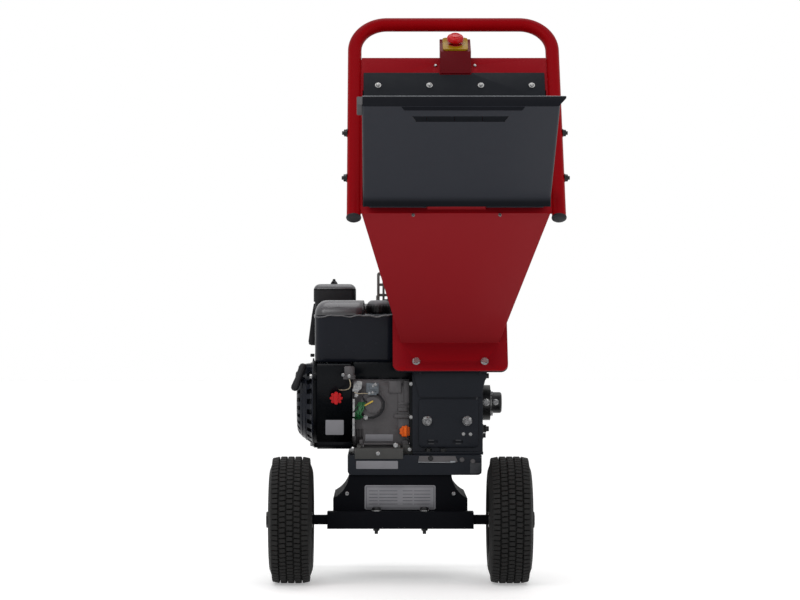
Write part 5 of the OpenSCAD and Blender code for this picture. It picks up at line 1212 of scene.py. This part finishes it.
def makeCutterTrim():
    bm = bmesh.new()
    wide = cutter["louvre"] / 2
    for x, z in cutter["louvres"]:
        place = at(0, cutter["louvreY"], z) @ sideways @ turned(90, "Z")
        addPlate(bm, cutter["blade"], x - wide, x + wide, place, 0.4)
    # edge of the side plate that carries the throat
    addTube(bm, cutter["sideEdge"], 1.5, 8)
    addBox(bm, *cutter["pad"])
    trimPiece("cutterTrim", bm, "trimGrey")
    bm = bmesh.new()
    addFront(bm, cutter["flange"], *cutter["flangeY"], 0.6)
    trimPiece("footFlange", bm, "castAlloy")
    # light grey tip and line along the foot flange's lower edge: painted highlight
    bm = bmesh.new()
    addBox(bm, *cutter["tip"])
    addTube(bm, cutter["flangeLine"], 0.9, 8)
    trimPiece("flangeEdge", bm, "paintedEdgeHighlight")
    boltPiece("flangeHead", None, [(at(*cutter["headAt"]) @ outFront, cutter["head"])], "bearingBlack")
    bm = bmesh.new()
    addLathe(bm, cutter["band"], crankSpot(cutter["bandX"]) @ outRight, 64, True)
    trimPiece("bearingBand", bm, "zincPlate")
    boltPiece("bearingScrews", None, frontScrews(cutter["bearingScrews"]), "boltSteel")


makeCutterTrim()


# blank rating plate: border and empty rules
plate = {"x": (-72.5, 71.5), "z": (157.5, 202.5), "rules": (194, 187, 180, 173, 166), "line": 0.8, "y": (16.8, 17.2),
         "columns": ((6, 24), (28, 66), (78, 98), (102, 136))}
bm = bmesh.new()
(x0, x1), (y0, y1), (z0, z1), edge = plate["x"], plate["y"], plate["z"], plate["line"] / 2
strokes = [((x0, z0), (x1, z0)), ((x0, z1), (x1, z1)), ((x0, z0), (x0, z1)), ((x1, z0), (x1, z1))]
for z in plate["rules"]:
    strokes += [((x0 + start, z), (x0 + end, z)) for start, end in plate["columns"]]
for (ax, az), (bx, bz) in strokes:
    addBox(bm, (ax - edge, y0, az - edge), (bx + edge, y1, bz + edge), 0.1, 1)
trimPiece("plateRules", bm, "stoveBlack")


# weld beads where the pedestal stands on the beam
weld = {"start": 60, "step": 8, "points": 10, "y": 17.8, "z": 152.6, "spacing": 3.2, "radius": 2.1}
bm = bmesh.new()
lines = [[Vector((m * (weld["start"] + k * weld["step"]), weld["y"], weld["z"])) for k in range(weld["points"])]
         for m in (-1, 1)]
# the beads in the darker black of painted shade
beaded(bm, lines, weld["spacing"], weld["radius"], "chassisBlackPaintedShade")
trimPiece("beamWelds", bm, "chassisBlackPaintedShade", angle=60)
print("cutter trimmed")


# the other solids keep their CAD form
softNodes = {
    # chassis, axle beam and axle in the darker black of painted shade
    "chassis": ("chassisBlackPaintedShade", 0.8), "axle_beam": ("chassisBlackPaintedShade", 0.8), "engine_deck": ("powderBlack", 0.8),
    "rear_stand": ("powderBlack", 0.4), "stand_feet": ("mouldedBlack", 0.8),
    "rotor_housing": ("powderBlack", 0.5), "throat": ("powderBlack", 0.5), "front_cover": ("powderBlack", 0.8),
    "discharge_chute": ("powderBlack", 0.5), "deflector": ("powderBlack", 0.5),
    # the stop switch box takes the darker red of painted shade
    "hopper": ("hopperRed", 0.5), "stop_switch_box": ("boxRedPaintedShade", 1.2),
    "crankcase": ("castAlloy", 0.8), "crankcase_cover": ("castAlloy", 0.8), "cylinder_block": ("castAlloy", 0.4),
    "carburettor": ("brightAlloy", 0.6), "muffler": ("heatSteel", 0.8), "muffler_guard": ("heatSteel", 0.3),
    "spark_plug": ("mouldedBlack", 0.4), "throttle_lever": ("mouldedBlack", 0.4),
    "bearing_housing": ("bearingBlack", 0.8), "bearing_cap": ("bearingBlack", 0.6), "rating_plates": ("plateFoil", 0.2),
    "hinge_pin": ("zincPlate", 0.3), "axle": ("chassisBlackPaintedShade", 0.6), "axle_nuts": ("bearingBlack", 0.5),
    "left_rim": ("rimPaint", 0.5), "right_rim": ("rimPaint", 0.5),
    "crankshaft": ("groundSteel", 0.4), "flywheel": ("rotorIron", 0.4),
    "rotor_drum": ("rotorIron", 0.5), "knives": ("groundSteel", 0.2), "shaft_bearings": ("groundSteel", 0.3),
    "anvil": ("groundSteel", 0.2),
}
for node, (mat, width) in softNodes.items():
    softEdged(node, mat, width)
print("solids dressed")


# stage: pale floor, soft studio light
stage = {
    "floor": 14, "floorTone": (0.86, 0.86, 0.86), "floorRough": 0.7, "patch": 3, "lift": 0.32, "worldLight": 0.75,
    "lampSize": 2.6,
    # place, aim and power
    "lamps": {"keyLamp": ((-1.6, -3.2, 3.4), (0, 0, 0.6), 42), "fillLamp": ((2.6, -2.6, 2.0), (0, 0, 0.5), 14),
              "topLamp": ((0, 0.6, 3.6), (0, 0, 0.6), 28)},
}


def whiteForView(tree):
    # white where the camera or a reflection sees it, and plain light elsewhere
    path = addNode(tree, "ShaderNodeLightPath")
    first = addNode(tree, "ShaderNodeMath", {0: path.outputs["Is Camera Ray"], 1: path.outputs["Is Glossy Ray"]},
                    operation="MAXIMUM")
    return addNode(tree, "ShaderNodeMath", {0: first.outputs[0], 1: path.outputs["Is Transmission Ray"]},
                   operation="MAXIMUM").outputs[0]


world = bpy.data.worlds.new("studio")
scene.world = world
world.use_nodes = True
sky = world.node_tree
background = sky.nodes["Background"]
background.inputs["Color"].default_value = (1, 1, 1, 1)
sky.links.new(spread(sky, whiteForView(sky), 0, 1, stage["worldLight"], 1), background.inputs["Strength"])

floorMesh = bpy.data.meshes.new("floor")
half = stage["floor"]
floorMesh.from_pydata([(-half, -half, 0), (half, -half, 0), (half, half, 0), (-half, half, 0)], [], [(0, 1, 2, 3)])
floorObj = bpy.data.objects.new("floor", floorMesh)
scene.collection.objects.link(floorObj)
floorMat = bpy.data.materials.new("paleFloor")
floorMat.use_nodes = True
floorTree = floorMat.node_tree
floorBsdf = floorTree.nodes["Principled BSDF"]
floorPlace = addNode(floorTree, "ShaderNodeTexCoord").outputs["Object"]
floorTone = stage["floorTone"]
floorTree.links.new(blendColour(floorTree, noise(floorTree, floorPlace, stage["patch"]), colour4(floorTone),
                                colour4([c * 0.99 for c in floorTone])), floorBsdf.inputs["Base Color"])
floorBsdf.inputs["Roughness"].default_value = stage["floorRough"]
floorBsdf.inputs["Emission Color"].default_value = (1, 1, 1, 1)
floorTree.links.new(spread(floorTree, whiteForView(floorTree), 0, 1, 0, stage["lift"]),
                    floorBsdf.inputs["Emission Strength"])
floorMesh.materials.append(floorMat)

for name, (place, aim, power) in stage["lamps"].items():
    lamp = bpy.data.lights.new(name, "AREA")
    lamp.energy = power
    lamp.shape = "DISK"
    lamp.size = stage["lampSize"]
    lampObj = bpy.data.objects.new(name, lamp)
    scene.collection.objects.link(lampObj)
    lampObj.location = place
    lampObj.rotation_euler = (Vector(aim) - Vector(place)).to_track_quat("-Z", "Y").to_euler()
scene.view_settings.view_transform = "Standard"
print("stage set")
